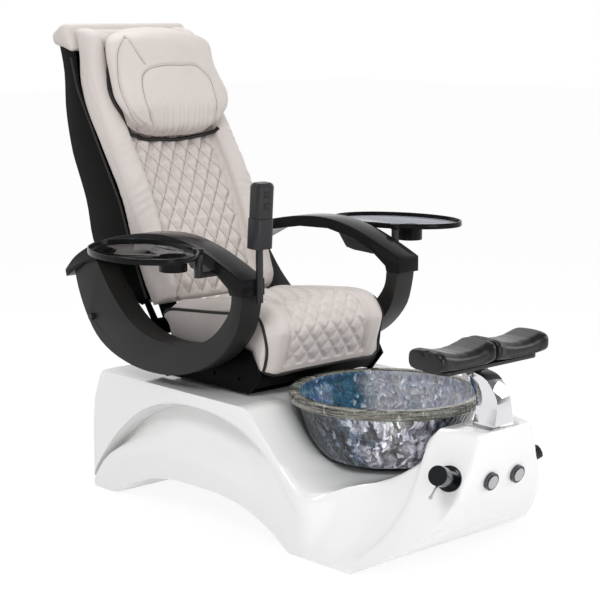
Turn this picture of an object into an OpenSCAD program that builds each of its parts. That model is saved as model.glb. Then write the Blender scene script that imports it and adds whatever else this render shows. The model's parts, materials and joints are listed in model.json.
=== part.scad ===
/* [Base] */
// Width of the base across its side walls
base_w = 760; // [700:5:840]
// Distance from the origin forward to the tip of the prow
prow_reach = 927; // [880:1:980]
// Distance from the origin forward to the toe line on the floor
toe_reach = 660; // [600:1:720]
// Distance from the origin back to the rear wall of the base
rear_reach = 587; // [560:1:640]
// Height of the seat deck above the floor
deck_h = 412; // [380:1:420]
// Height of the prow's top above the floor
tower_h = 419; // [390:1:440]
// Height of the valley floor under the bowl
valley_h = 232; // [190:1:240]
// Width of the prow at its top front edge
prow_w = 214; // [180:1:260]
// Width of the prow's top behind the bracket
prow_rear_w = 318; // [280:1:360]
// Height of the arch under the side ribbon
arch_h = 116; // [60:1:130]
// Depth of the crescent scoop in each side wall
scoop_depth = 70; // [20:1:100]
// Height of the rubber glides under the legs
glide_h = 3; // [2:0.5:8]
// Diameter of one glide
glide_d = 50; // [30:1:60]

/* [Bowl] */
// Outer diameter of the bowl's rim
bowl_d = 610; // [560:1:620]
// Height of the bowl's rim top above the floor
bowl_top = 453; // [450:1:480]
// Height of the rim band
rim_h = 29; // [22:1:30]
// Width of the rim on top
rim_w = 33; // [24:1:40]
// Distance from the origin forward to the bowl's centre
bowl_reach = 446; // [440:1:450]
// Thickness of the bowl's wall
bowl_wall = 9; // [6:0.5:12]
// Height of the gasket that carries the bowl
gasket_h = 10; // [6:1:14]
// Diameter of the drain hole
drain_d = 60; // [40:1:70]

/* [Footrest] */
// Length of the footrest across the chair
rest_w = 480; // [400:2:540]
// Depth of the footrest pads, front to back
rest_d = 150; // [120:1:170]
// Height of the footrest's pivot above the floor
rest_pivot_h = 560; // [550:1:590]
// Thickness of the pads at their saddles
rest_pad_t = 44; // [36:1:52]
// Rise of the pads towards their ends
rest_rise = 28; // [16:1:40]
// Width of the chrome bracket
bracket_w = 84; // [60:1:96]

/* [Controls] */
// Diameter of one push-button cap
button_d = 40; // [30:1:44]
// Travel of a push-button
button_travel = 4; // [2:0.5:5]
// Distance between the two push-buttons
button_pitch = 116; // [100:1:130]
// Height of the push-buttons above the floor
button_h = 271; // [240:1:300]
// Diameter of the mixer flange
mixer_flange_d = 76; // [66:1:84]
// Diameter of the mixer cap
mixer_cap_d = 58; // [50:1:60]
// Length of the mixer's pin lever
lever_l = 64; // [50:1:90]

/* [Seat] */
// Width of the seat cushion
seat_w = 524; // [480:2:524]
// Distance from the origin forward to the seat's nose
seat_nose = 198; // [180:1:210]
// Height of the seat's nose top above the floor
seat_top_h = 704; // [690:1:720]
// Height of the seat pan's top above the floor
pan_h = 492; // [480:1:500]
// Thickness of the seat pan
pan_t = 8; // [5:0.5:12]
// Thickness of the steel side plates
plate_t = 8; // [5:0.5:10]
// Width of one slide rail
rail_w = 30; // [24:1:40]
// Height of one slide rail
rail_h = 14; // [10:1:16]
// Distance between the slide rails
rail_pitch = 360; // [300:2:400]
// Lift of the sewn diamonds above their seams
quilt_lift = 6; // [3:0.5:8]

/* [Backrest] */
// Lean of the backrest from upright
back_angle = 29; // [15:1:32]
// Length of the backrest from its hinge to its top
back_len = 1100; // [1040:2:1120]
// Width of the backrest's shell
back_w = 524; // [480:2:524]
// Depth of the shell at its widest, front to back
back_depth = 200; // [180:1:220]
// Wall thickness of the shell
shell_t = 5; // [3:0.5:8]
// Thickness of the back cushion at its centre
back_pad_t = 64; // [50:1:80]
// Height of the side bolsters above the back cushion's centre
bolster_t = 46; // [30:1:54]
// Diameter of the backrest's hinge pins
back_pin_d = 16; // [12:1:20]
// Width of the head pillow
pillow_w = 470; // [400:2:480]
// Height of the head pillow along the back
pillow_h = 386; // [340:2:400]
// Thickness of the head pillow
pillow_t = 74; // [60:1:90]

/* [Massage drive] */
// Diameter of one guide rod
guide_d = 16; // [12:1:20]
// Distance between the guide rods
guide_pitch = 260; // [240:2:300]
// Diameter of the kneading discs
knead_d = 70; // [60:1:74]

/* [Arms] */
// Width of one arm
arm_w = 81; // [70:1:86]
// Distance from the centre plane to the inner face of an arm
arm_inset = 295; // [290:1:300]
// Height of the arm's lowest edge above the floor
arm_low = 448; // [444:1:460]
// Thickness of the arm pad
pad_t = 36; // [28:1:42]
// Height of the arm pad's front block
block_h = 51; // [40:1:60]
// Diameter of the arm's pivot bolt
arm_bolt_d = 12; // [10:1:16]
// Width the arm pad stands out past the arm's outer face
pad_over = 11; // [4:1:14]

/* [Trays] */
// Length of one tray
tray_l = 476; // [440:2:500]
// Width of one tray
tray_w = 310; // [260:2:320]
// Lean of the tray's long axis, its rear end towards the chair
tray_lean = 16; // [8:1:20]
// Height of the tray's rim top above the floor
tray_h = 890; // [886:1:900]
// Thickness of the tray with its rim
tray_t = 18; // [14:1:24]
// Outer diameter of the cup holder
cup_d = 86; // [76:1:96]
// Depth of the cup holder below the tray's rim
cup_depth = 62; // [50:1:74]
// Diameter of the tray's pivot pin
tray_post_d = 18; // [14:1:22]

/* [Remote] */
// Length of the remote's handset
remote_l = 118; // [90:1:140]
// Width of the handset
remote_w = 64; // [50:1:66]
// Thickness of the handset
remote_t = 48; // [28:1:50]
// Height of the remote's cradle
cradle_h = 92; // [70:1:110]
// Height of the cradle's foot above the floor
cradle_foot_h = 897; // [894:1:910]

/* [Hidden] */

// clearances
seat_gap = 0.3;      // between pieces that rest on each other across a joint
soft_gap = 0.8;      // between a padded piece and what it lies on
run_gap = 0.05;      // radial clearance of a running fit
curve_n = 48;        // facets asked for on round forms

// ---- small helpers -------------------------------------------------------
function clamp(v) = min(1, max(0, v));
function mix(a, b, t) = a + (b - a) * t;
function ease(t) = t * t * (3 - 2 * t);
function ramp(v, from, to) = ease(clamp((v - from) / (to - from)));
function flip(points) = [for (i = [len(points) - 1:-1:0]) points[i]];

// smooth value at x through [x, value] pairs listed in rising x
function span(x, t, i = 0) = (i >= len(t) - 2 || x < t[i + 1][0]) ? i : span(x, t, i + 1);
function slope(t, i) = (i == 0) ? (t[1][1] - t[0][1]) / (t[1][0] - t[0][0])
    : (i == len(t) - 1) ? (t[i][1] - t[i - 1][1]) / (t[i][0] - t[i - 1][0])
    : (t[i + 1][1] - t[i - 1][1]) / (t[i + 1][0] - t[i - 1][0]);
function hermite(a, b, sa, sb, d, u) = a * (1 + 2 * u) * (1 - u) * (1 - u) + b * u * u * (3 - 2 * u)
    + d * (sa * u * (1 - u) * (1 - u) - sb * u * u * (1 - u));
function along(x, t) = let (i = span(x, t), d = t[i + 1][0] - t[i][0], u = clamp((x - t[i][0]) / d))
    hermite(t[i][1], t[i + 1][1], slope(t, i), slope(t, i + 1), d, u);

// smooth open curve through 2-D points, n steps to a span
function knot(p, i) = p[min(len(p) - 1, max(0, i))];
function bend(p, i, u) = let (a = knot(p, i - 1), b = knot(p, i), c = knot(p, i + 1), e = knot(p, i + 2))
    0.5 * (2 * b + (c - a) * u + (2 * a - 5 * b + 4 * c - e) * u * u + (3 * b - a - 3 * c + e) * u * u * u);
function curve(p, n = 6) = [for (i = [0:len(p) - 2]) for (k = [0:n - 1]) bend(p, i, k / n), p[len(p) - 1]];

// closed solid through rings of equal length, with fans at both ends
module loft(rings) {
    n = len(rings[0]);
    m = len(rings);
    centre = function (r) [for (k = [0:2]) [for (p = r) p[k]] * [for (p = r) 1 / n]];
    points = [for (r = rings) for (p = r) p, centre(rings[0]), centre(rings[m - 1])];
    sides = [for (i = [0:m - 2]) for (j = [0:n - 1]) let (a = i * n + j, b = i * n + (j + 1) % n)
        each [[a, b, a + n], [b, b + n, a + n]]];
    near_end = [for (j = [0:n - 1]) [(j + 1) % n, j, m * n]];
    far_end = [for (j = [0:n - 1]) [(m - 1) * n + j, (m - 1) * n + (j + 1) % n, m * n + 1]];
    polyhedron(points, concat(sides, near_end, far_end));
}

// the same for rings that mirror about x = 0 and start on it, with their first t points in one
// line: each end closes with a fan under that line and level strips below
module mirror_loft(rings, t) {
    n = len(rings[0]);
    m = len(rings);
    h = (n + 1) / 2;
    sides = [for (i = [0:m - 2]) for (j = [0:n - 1]) let (a = i * n + j, b = i * n + (j + 1) % n)
        each [[a, b, a + n], [b, b + n, a + n]]];
    cap = concat([[0, t, n - t], [0, n - t, n - 1]],
        [for (k = [0:t - 2]) [k, k + 1, t]],
        [for (k = [1:t - 2]) [n - k, n - t, n - k - 1]],
        [for (k = [t:h - 2]) each [[k, k + 1, n - k], [k + 1, n - k - 1, n - k]]]);
    near_end = [for (f = cap) flip(f)];
    far_end = [for (f = cap) [for (k = f) k + (m - 1) * n]];
    polyhedron([for (r = rings) for (p = r) p], concat(sides, near_end, far_end));
}

module rounded_plate(w, d, t, r) {
    linear_extrude(t) union() {
        square([w - 2 * r, d], center = true);
        square([w, d - 2 * r], center = true);
        for (x = [-1, 1], y = [-1, 1]) translate([x * (w / 2 - r), y * (d / 2 - r)]) circle(r, $fn = curve_n);
    }
}

// side profile in [y, z] drawn out along x from x0 to x1
module along_x(x0, x1) {
    translate([x0, 0, 0]) rotate([90, 0, 90]) linear_extrude(x1 - x0) children();
}

module rod_x(r, x0, x1) {
    translate([x0, 0, 0]) rotate([0, 90, 0]) cylinder(r = r, h = x1 - x0, $fn = curve_n);
}

// ---- base -----------------------------------------------------------------
half_w = base_w / 2;
prow_y = -prow_reach;
toe_y = -toe_reach;
rear_y = rear_reach;
bowl_y = -bowl_reach;
bowl_r = bowl_d / 2;
bowl_floor_h = valley_h + gasket_h;
deck_front = -210;          // where the deck starts to fall into the valley
ridge_y = -470;             // where the side ridge meets the valley
ridge_h = 185;
arch_front = -406;          // arch feet on the floor
arch_rear = 444;
arch_top = -20;

// height and half width of the crest, the edge between top and side, from rear to prow
crest_h = [[prow_y, tower_h], [-775, tower_h], [-762, tower_h - 79], [-730, 296], [-650, 246],
    [-560, 222], [ridge_y, ridge_h], [-400, ridge_h + 50], [deck_front - 40, deck_h - 32],
    [deck_front, deck_h], [rear_y, deck_h]];
crest_w = [[prow_y, prow_w / 2], [-775, prow_rear_w / 2], [-730, 186], [-650, 222], [-560, 290],
    [ridge_y, half_w], [-400, half_w], [rear_y, half_w]];

function crest_z(y) = (y > deck_front) ? deck_h : (y < -775) ? tower_h : along(y, crest_h);
function crest_x(y) = (y > ridge_y) ? half_w : along(y, crest_w);

// bell curve of the flank: share of the way out at share t of the way down
function bell(t) = 0.58 * t + 0.42 * pow(t, 5);

function arch_z(y) = (y <= arch_front || y >= arch_rear) ? glide_h
    : (y < arch_top) ? glide_h + (arch_h - glide_h) * (1 - pow((arch_top - y) / (arch_top - arch_front), 2.5))
    : glide_h + (arch_h - glide_h) * (1 - pow((y - arch_top) / (arch_rear - arch_top), 3.1));

// crease over the crescent scoop, and the upper edge of the ribbon below it
crease_peak = deck_h - 40;
ribbon_peak = arch_h + 97;
function crease_free(y) = (y < 10) ? crease_peak - 885e-6 * pow(y - 10, 2)
    : crease_peak - 20 * pow((y - 10) / 193, 2.6);
function ribbon_free(y) = (y < 90) ? ribbon_peak - 95 * pow((90 - y) / 416, 2.4)
    : ribbon_peak - 149 * pow((y - 90) / 492, 2.7);
function front_fade(y) = ramp(-y, 300, 520);
function crease_z(y) = let (low = arch_z(y), high = crest_z(y))
    mix(crease_free(y), low + 0.6 * (high - low), front_fade(y));
function ribbon_z(y) = let (low = arch_z(y), high = crest_z(y))
    min(crease_z(y) - 24, max(low + 14, mix(ribbon_free(y), low + 0.3 * (high - low), front_fade(y))));
function scoop(y) = mix(0.05, 1, ramp(y, -330, -90)) * scoop_depth * (1 - front_fade(y))
    * mix(1, 0.6, ramp(y, 420, rear_y));
function scoop_shape(s) = (s < 0.14) ? sqrt(s / 0.14) : 1 - pow((s - 0.14) / 0.86, 1.7);

function flank_x(y, z) = let (top = crest_z(y), t = clamp((top - z) / (top - glide_h)))
    mix(crest_x(y), half_w, bell(t));
function side_x(y, z) = let (s = clamp((crease_z(y) - z) / (crease_z(y) - ribbon_z(y))))
    flank_x(y, z) - scoop(y) * scoop_shape(s);

// the pocket's wall rises round the bowl
pocket_r0 = bowl_r - 100;
pocket_r1 = bowl_r - 2;
function pocket_z(x, y) = let (r = norm([x, y - bowl_y]), t = (r - pocket_r0) / (pocket_r1 - pocket_r0))
    (r <= pocket_r0) ? valley_h : valley_h + (bowl_top - rim_h - valley_h) * pow(t, 1.3);
function top_z(x, y) = let (edge = crest_z(y), inner = max(edge, valley_h), u = abs(x) / crest_x(y))
    min(mix(inner, edge, pow(u, 3)), max(valley_h - 60 * pow(u, 3), pocket_z(x, y)));

// lean of the prow and of the rear wall
function lean(s) = 0.93 * (1 - pow(1 - s, 3.4)) + 0.07 * s;
function prow_at(z) = toe_y - (toe_y - prow_y) * lean(clamp(z / tower_h));
function rear_at(z) = rear_y - 61 * pow(clamp(z / deck_h), 6);
prow_knee = -560;
rear_knee = 430;
function swept(y, z) = (y < prow_knee) ? prow_knee + (y - prow_knee)
    * (prow_at(z) - prow_knee) / (prow_y - prow_knee)
    : (y > rear_knee) ? rear_knee + (y - rear_knee) * (rear_at(z) - rear_knee) / (rear_y - rear_knee)
    : y;

corner_r = 24;
function corner(y) = let (d = min(rear_y - y, (y - prow_y) * 3))
    (d > corner_r) ? 0 : corner_r - sqrt(corner_r * corner_r - pow(corner_r - d, 2));

top_steps = [0, 0.2, 0.4, 0.58, 0.74, 0.87, 0.95];
edge_r = 14;
function half_section(y) = let (
        zc = crest_z(y), xc = crest_x(y), za = crease_z(y), zb = ribbon_z(y), zd = arch_z(y), c = corner(y),
        z0 = zc - edge_r,
        levels = concat([for (k = [0:3]) mix(z0, za, k / 4)],
            [for (s = [0, 0.05, 0.14, 0.32, 0.52, 0.74]) mix(za, zb, s)],
            [for (k = [0:4]) mix(zb, zd, k / 4)]),
        deck = [for (u = top_steps) [u * (xc - edge_r) * (1 - c / xc), top_z(u * (xc - edge_r), y)]],
        fillet = [[xc - edge_r * 0.35 - c, zc - edge_r * 0.08]],
        wall = [for (z = levels) [side_x(y, z) - c, z]])
    concat(deck, fillet, wall);
function station(y) = let (h = half_section(y), n = len(h),
        right = [for (p = h) [p[0], swept(y, p[1]), p[1]]],
        left = [for (i = [n - 1:-1:1]) [-right[i][0], right[i][1], right[i][2]]])
    concat(right, left);
stations = concat([for (d = [0, 2, 7, 15, 26, 50, 90, 130, 158, 170, 182, 200, 230, 262, 296, 330, 364,
    398, 430, 460]) prow_y + d],
    [for (y = [-440:30:-200]) y], [for (y = [-165:38:400]) y],
        [for (d = [150, 110, 70, 40, 24, 14, 7, 2, 0]) rear_y - d]);

module base_shell() {
    color("white") mirror_loft([for (y = stations) station(y)], len(top_steps) + 1);
}

module base_glides() {
    color("dimgray") for (p = [[320, 520], [300, -470], [120, -590]], side = [-1, 1])
        translate([side * p[0], p[1], 0]) cylinder(d = glide_d, h = glide_h, $fn = curve_n);
}

deck_plate_t = 6;
deck_top = deck_h + deck_plate_t;
rail_front = -60;
rail_rear = 420;
rail_top = deck_top + rail_h;
module deck_plate() {
    color([0.1, 0.1, 0.11]) translate([-rail_pitch / 2 - 60, rail_front - 20, deck_h])
        cube([rail_pitch + 120, rail_rear - rail_front + 40, deck_plate_t]);
}

// each rail is an upright bar with a wider head that the shoes hook under
rail_head = 5;
module rail_profile() {
    translate([-rail_w / 2 + 5, deck_top]) square([rail_w - 10, rail_h - rail_head]);
    translate([-rail_w / 2, rail_top - rail_head]) square([rail_w, rail_head]);
}
module slide_rails() {
    color("silver") for (side = [-1, 1]) translate([side * rail_pitch / 2, rail_rear, 0])
        rotate([90, 0, 0]) linear_extrude(rail_rear - rail_front) rail_profile();
}

screw_d = 12;
screw_z = deck_top + 16;
module slide_screw() {
    color("gray") union() {
        translate([0, rail_rear, screw_z]) rotate([90, 0, 0])
            cylinder(d = screw_d, h = rail_rear - rail_front, $fn = curve_n);
        for (y = [rail_front, rail_rear - 12]) translate([-14, y, deck_top]) cube([28, 12, 26]);
    }
}

// ---- bowl -----------------------------------------------------------------
bowl_neck = bowl_top - rim_h;
bowl_outside = [[drain_d / 2, bowl_floor_h], [150, bowl_floor_h], [196, bowl_floor_h + 12],
    [226, bowl_floor_h + 46], [248, bowl_floor_h + 88], [264, bowl_floor_h + 134], [bowl_r - 22, bowl_neck]];
bowl_inside = [for (p = bowl_outside)
    [p[0] - (p[1] > bowl_floor_h ? bowl_wall : 0), p[1] + (p[1] > bowl_floor_h + 60 ? 0 : bowl_wall)]];
// flat foot, then the rounded wall
function bowl_line(points) = concat([points[0]], curve([for (i = [1:len(points) - 1]) points[i]], 4));
bowl_profile = concat(bowl_line(bowl_outside),
    [[bowl_r - 4, bowl_neck], [bowl_r, bowl_neck + 4], [bowl_r, bowl_top - 4], [bowl_r - 4, bowl_top],
     [bowl_r - rim_w + 3, bowl_top], [bowl_r - rim_w, bowl_top - 4]],
    flip(bowl_line(bowl_inside)));
module bowl() {
    color([0.45, 0.52, 0.6, 0.6]) translate([0, bowl_y, 0]) rotate_extrude($fn = 96) polygon(bowl_profile);
}

module bowl_gasket() {
    color("dimgray") translate([0, bowl_y, valley_h]) difference() {
        cylinder(r = 140, h = gasket_h, $fn = 96);
        translate([0, 0, -1]) cylinder(r = 120, h = gasket_h + 2, $fn = 96);
    }
}

// flanged tube clamped through the drain hole
drain_lip = 14;
module drain_flange() {
    color("silver") translate([0, bowl_y, bowl_floor_h]) difference() {
        union() {
            translate([0, 0, bowl_wall]) cylinder(d = drain_d + 2 * drain_lip, h = 3, $fn = curve_n);
            translate([0, 0, 3 - gasket_h]) cylinder(d = drain_d - 0.6, h = bowl_wall + gasket_h - 3,
                $fn = curve_n);
        }
        translate([0, 0, -gasket_h]) cylinder(d = drain_d - 12, h = bowl_wall + gasket_h + 4, $fn = curve_n);
    }
}

module drain_strainer() {
    color("silver") translate([0, bowl_y, bowl_floor_h + bowl_wall + 3]) difference() {
        cylinder(d = drain_d, h = 4, $fn = curve_n);
        for (ring = [[0, 1], [11, 6], [21, 12]], k = [0:ring[1] - 1])
            rotate([0, 0, k * 360 / ring[1]]) translate([ring[0] * drain_d / 60, 0, -1])
                cylinder(d = 5, h = 6, $fn = 24);
    }
}

// round jet housing on the bowl's floor near its rear wall, with the impeller in it
jet_d = 96;
jet_h = 30;
jet_y = bowl_y + 100;
jet_z = bowl_floor_h + bowl_wall;
jet_wall = 4;
impeller_d = 70;
module jet_cover() {
    color("silver") translate([0, jet_y, jet_z]) difference() {
        cylinder(d = jet_d, h = jet_h, $fn = curve_n);
        translate([0, 0, jet_wall]) cylinder(d = jet_d - 2 * jet_wall, h = jet_h - 2 * jet_wall,
            $fn = curve_n);
        for (k = [0:7]) rotate([0, 0, k * 45]) translate([26, 0, jet_h - jet_wall - 1])
            cylinder(d = 12, h = jet_wall + 2, $fn = 24);
        for (k = [0:3]) rotate([0, 0, k * 90 + 45]) translate([jet_d / 2 - jet_wall - 2, -9, 10])
            cube([jet_wall + 4, 18, 10]);
    }
}
jet_shaft_d = 8;
module jet_impeller() {
    color("gainsboro") translate([0, jet_y, jet_z + jet_wall + seat_gap]) union() {
        cylinder(d = jet_shaft_d, h = jet_h - 2 * jet_wall - 2 * seat_gap, $fn = curve_n);
        for (k = [0:5]) rotate([0, 0, k * 60]) translate([0, -1, 3]) cube([impeller_d / 2, 2, 14]);
    }
}

// ---- prow fittings ---------------------------------------------------------
plate_thick = 3;
bracket_front = prow_y + 14;
bracket_rear = bracket_front + 84;
module tower_plate() {
    color("silver") translate([0, (bracket_front + bracket_rear) / 2 + 8, tower_h])
        rounded_plate(bracket_w + 44, bracket_rear - bracket_front + 28, plate_thick, 10);
}

// curved horn of bent plate that rises from the prow and hooks back under the pads
bracket_foot = tower_h + plate_thick;
rest_pivot_y = bracket_rear + 29;
boss_r = 13;
horn_front = [[bracket_front, bracket_foot], [bracket_front + 2, bracket_foot + 68],
    [bracket_front + 18, rest_pivot_h - 34], [bracket_front + 54, rest_pivot_h + 1],
        [rest_pivot_y, rest_pivot_h + boss_r]];
horn_rear = [[bracket_rear, bracket_foot], [bracket_rear - 4, bracket_foot + 52],
    [bracket_rear + 6, rest_pivot_h - 42], [rest_pivot_y, rest_pivot_h - boss_r]];
// waisted front view: wide foot, narrow middle
horn_side = [[bracket_w / 2, bracket_foot], [bracket_w / 2 - 7, bracket_foot + 34],
    [bracket_w / 2 - 12, bracket_foot + 78],
    [bracket_w / 2 - 9, rest_pivot_h + boss_r + 2]];
module horn_outline() {
    polygon(concat(curve(horn_front), [for (a = [75:-15:-75]) [rest_pivot_y + boss_r * cos(a),
        rest_pivot_h + boss_r * sin(a)]],
        flip(curve(horn_rear))));
}
fork_gap = 34;
rest_pin_d = 12;
module footrest_bracket() {
    color("silver") difference() {
        intersection() {
            along_x(-bracket_w / 2, bracket_w / 2) horn_outline();
            translate([0, rest_pivot_y + 60, 0]) rotate([90, 0, 0]) linear_extrude(300)
                polygon(concat(curve(horn_side, 4), flip([for (p = curve(horn_side, 4)) [-p[0], p[1]]])));
        }
        translate([0, rest_pivot_y, rest_pivot_h]) rod_x(rest_pin_d / 2 + run_gap, -bracket_w / 2 - 1,
            bracket_w / 2 + 1);
        translate([-fork_gap / 2, rest_pivot_y - boss_r - 8, rest_pivot_h - boss_r - 8])
            cube([fork_gap, 60, 70]);
    }
}
module footrest_pin() {
    color("silver") translate([0, rest_pivot_y, rest_pivot_h]) union() {
        rod_x(rest_pin_d / 2, -bracket_w / 2 - 3, bracket_w / 2 + 3);
        for (side = [-1, 1]) translate([side * (bracket_w / 2 + 3), 0, 0])
            rod_x(rest_pin_d / 2 + 4, -2.7, 2.7);
    }
}

rest_y = prow_y + 110;                 // centre line of the pads
carrier_t = 12;
carrier_z = rest_pivot_h + boss_r + 17;
module footrest_carrier() {
    color([0.12, 0.12, 0.13]) difference() {
        union() {
            translate([0, rest_y, carrier_z]) rounded_plate(rest_w - 70, rest_d - 40, carrier_t, 30);
            along_x(-fork_gap / 2 + seat_gap, fork_gap / 2 - seat_gap) {
                translate([rest_pivot_y, rest_pivot_h]) circle(r = boss_r, $fn = curve_n);
                translate([rest_pivot_y - boss_r, rest_pivot_h])
                    square([2 * boss_r, carrier_z - rest_pivot_h + 1]);
            }
        }
        translate([0, rest_pivot_y, rest_pivot_h]) rod_x(rest_pin_d / 2 + run_gap, -fork_gap, fork_gap);
    }
}

// saddle pad: rounded sections strung across the chair, high at both ends and low between
rest_split = 3;
function saddle(u) = rest_rise * pow(abs(2 * u - 1), 2.2);
function pad_ring(x, u, inset) = let (top = rest_pad_t + saddle(u) - inset, w = rest_d / 2 - inset * 0.8,
    r = 0.46)
    [for (k = [0:19]) let (a = k * 18, cx = cos(a), cz = sin(a))
        [x, rest_y + w * sign(cx) * pow(abs(cx), r), carrier_z + carrier_t + top / 2 + (top / 2)
            * sign(cz) * pow(abs(cz), 0.62)]];
module saddle_pad(side) {
    len_x = rest_w / 2 - rest_split / 2;
    steps = [[0, 12], [0.02, 4], [0.06, 0.5], [0.18, 0], [0.34, 0], [0.5, 0], [0.66, 0], [0.82, 0],
        [0.92, 2], [0.97, 7], [0.99, 13], [1, 20]];
    ordered = side > 0 ? steps : flip(steps);
    loft([for (s = ordered) pad_ring(side * (rest_split / 2 + s[0] * len_x), s[0], s[1])]);
}
module footrest_pad_left() {
    color([0.06, 0.06, 0.065]) saddle_pad(1);
}
module footrest_pad_right() {
    color([0.06, 0.06, 0.065]) saddle_pad(-1);
}

// frames of the two side fittings: on the flank, pointing out and up
fit_y = prow_y + 63;
fit_h = 291;
fit_proud = 10.3;                      // their zero stands this far outside the skin, across the chair
fit_station = prow_knee + (fit_y - prow_knee) * (prow_y - prow_knee) / (prow_at(fit_h) - prow_knee);
mixer_pos = [-flank_x(fit_station, fit_h) - fit_proud, fit_y, fit_h];
mixer_turn = [0, -70, 19];             // leans the z axis out to the sitter's right
module at_mixer() {
    translate(mixer_pos) rotate([0, 0, mixer_turn[2]]) rotate([0, mixer_turn[1], 0]) children();
}
stem_d = 34;
sunk = 14;           // depth the side fittings reach below their own zero, into the shell's skin
module mixer_flange() {
    color("silver") at_mixer() difference() {
        union() {
            translate([0, 0, -sunk]) cylinder(d = mixer_flange_d, h = sunk - 3, $fn = curve_n);
            translate([0, 0, -3]) cylinder(d = mixer_flange_d - 12, h = 8, $fn = curve_n);
            translate([0, 0, 5]) cylinder(d = stem_d + 16, h = 29, $fn = curve_n);
        }
        translate([0, 0, 5]) cylinder(d = stem_d + 2 * run_gap, h = 40, $fn = curve_n);
    }
}
// turning cartridge; the cap tilts on its ball
ball_d = 20;
tilt_z = 57;
cap_z = 47;
cap_h = 36;
module mixer_stem() {
    color("gray") at_mixer() union() {
        translate([0, 0, 5 + seat_gap]) cylinder(d = stem_d, h = 32, $fn = curve_n);
        translate([0, 0, 37]) cylinder(d = ball_d - 6, h = tilt_z - 37, $fn = curve_n);
        translate([0, 0, tilt_z]) sphere(d = ball_d, $fn = curve_n);
    }
}
module at_lever() {
    translate([-(mixer_cap_d / 2 - 10), 0, cap_z + cap_h / 2]) rotate([0, -45, 0]) children();
}
module mixer_cap() {
    color([0.12, 0.13, 0.14]) at_mixer() difference() {
        translate([0, 0, cap_z]) cylinder(d = mixer_cap_d, h = cap_h, $fn = curve_n);
        translate([0, 0, tilt_z]) sphere(d = ball_d + 2 * seat_gap, $fn = curve_n);
        translate([0, 0, cap_z - 1]) cylinder(d1 = ball_d + 6, d2 = ball_d - 2, h = tilt_z - cap_z + 1,
            $fn = curve_n);
        at_lever() cylinder(d = 9.1, h = 40, $fn = curve_n);
    }
}
module mixer_lever() {
    color("silver") at_mixer() at_lever() union() {
        cylinder(d = 9, h = lever_l, $fn = curve_n);
        translate([0, 0, lever_l]) sphere(d = 11, $fn = curve_n);
    }
}

// air buttons on the front face
button_lean = 12;    // the prow's face leans out by this much
module at_button(side) {
    translate([side * button_pitch / 2, prow_at(button_h), button_h])
        rotate([90 + button_lean, 0, 0]) children();
}
bezel_d = button_d + 14;
bezel_h = 10;
bezel_floor = 1.5;
bezel_sunk = 3;
module button_bezels() {
    color("silver") for (side = [-1, 1]) at_button(side) difference() {
        translate([0, 0, -bezel_sunk]) cylinder(d = bezel_d, h = bezel_h + bezel_sunk, $fn = curve_n);
        translate([0, 0, bezel_floor]) cylinder(d = button_d + 2 * seat_gap, h = bezel_h, $fn = curve_n);
    }
}
module push_button(side) {
    at_button(side) translate([0, 0, bezel_floor + button_travel + 0.5]) cylinder(d = button_d, h = 7,
        $fn = curve_n);
}
module jet_button() {
    color("silver") push_button(-1);
}
module drain_button() {
    color("silver") push_button(1);
}

// round knob on the far flank that works the drain
knob_d = 42;
module at_knob() {
    mirror([1, 0, 0]) at_mixer() children();
}
module drain_collar() {
    color("silver") at_knob() difference() {
        union() {
            translate([0, 0, -sunk]) cylinder(d = knob_d + 14, h = sunk - 2, $fn = curve_n);
            translate([0, 0, -2]) cylinder(d = knob_d - 6, h = 14, $fn = curve_n);
        }
        translate([0, 0, 5]) cylinder(d = 20 + 2 * run_gap, h = 20, $fn = curve_n);
    }
}
module drain_knob() {
    color([0.12, 0.12, 0.13]) at_knob() difference() {
        union() {
            translate([0, 0, 5 + seat_gap]) cylinder(d = 20, h = 10, $fn = curve_n);
            translate([0, 0, 12 + seat_gap]) cylinder(d = knob_d, h = 20, $fn = curve_n);
        }
        for (k = [0:9]) rotate([0, 0, k * 36]) translate([knob_d / 2 + 1.5, 0, 15])
            cylinder(d = 7, h = 20, $fn = 24);
    }
}

// ---- seat carriage ---------------------------------------------------------
seat_half = seat_w / 2;
plate_in = seat_half + 4;
plate_out = plate_in + plate_t;
hinge_y = 372;
hinge_z = 566;
arm_shift = 8;
arm_pivot = [558 + arm_shift, 589];
pan_low = pan_h - pan_t;
carriage_front = -150;
carriage_rear = 330;
carriage_low = rail_top + 4;
channel_t = 5;
module seat_carriage() {
    color([0.09, 0.09, 0.1]) difference() {
        along_x(-plate_in, plate_in)
            polygon([[carriage_front + 34, carriage_low], [carriage_rear, carriage_low],
                [carriage_rear, pan_low],
                [carriage_front, pan_low], [carriage_front + 4, pan_low - 12]]);
        along_x(-plate_in + channel_t, plate_in - channel_t)
            polygon([[carriage_front + 44, carriage_low - 1], [carriage_rear - 8, carriage_low - 1],
                [carriage_rear - 8, pan_low - channel_t], [carriage_front + 16, pan_low - channel_t]]);
        // passage for the feed screw and its end blocks
        translate([-20, carriage_front - 20, carriage_low - 1])
            cube([40, carriage_rear - carriage_front + 40, 14]);
    }
}

// slide shoes hang from the carriage's roof and hook round each rail's head
shoe_l = 60;
shoe_w = rail_w + 16;
module shoe_profile() {
    difference() {
        translate([-shoe_w / 2, deck_top + 1]) square([shoe_w, pan_low - channel_t - deck_top - 1]);
        translate([-rail_w / 2 - seat_gap, rail_top - rail_head - seat_gap])
            square([rail_w + 2 * seat_gap, rail_head + 2 * seat_gap]);
        translate([-rail_w / 2 + 5 - seat_gap, deck_top])
            square([rail_w - 10 + 2 * seat_gap, rail_h - rail_head]);
    }
}
module slide_shoes() {
    color("gainsboro") for (side = [-1, 1], y = [rail_front + 74, carriage_rear - 16])
        translate([side * rail_pitch / 2, y, 0]) rotate([90, 0, 0]) linear_extrude(shoe_l) shoe_profile();
}
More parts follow.
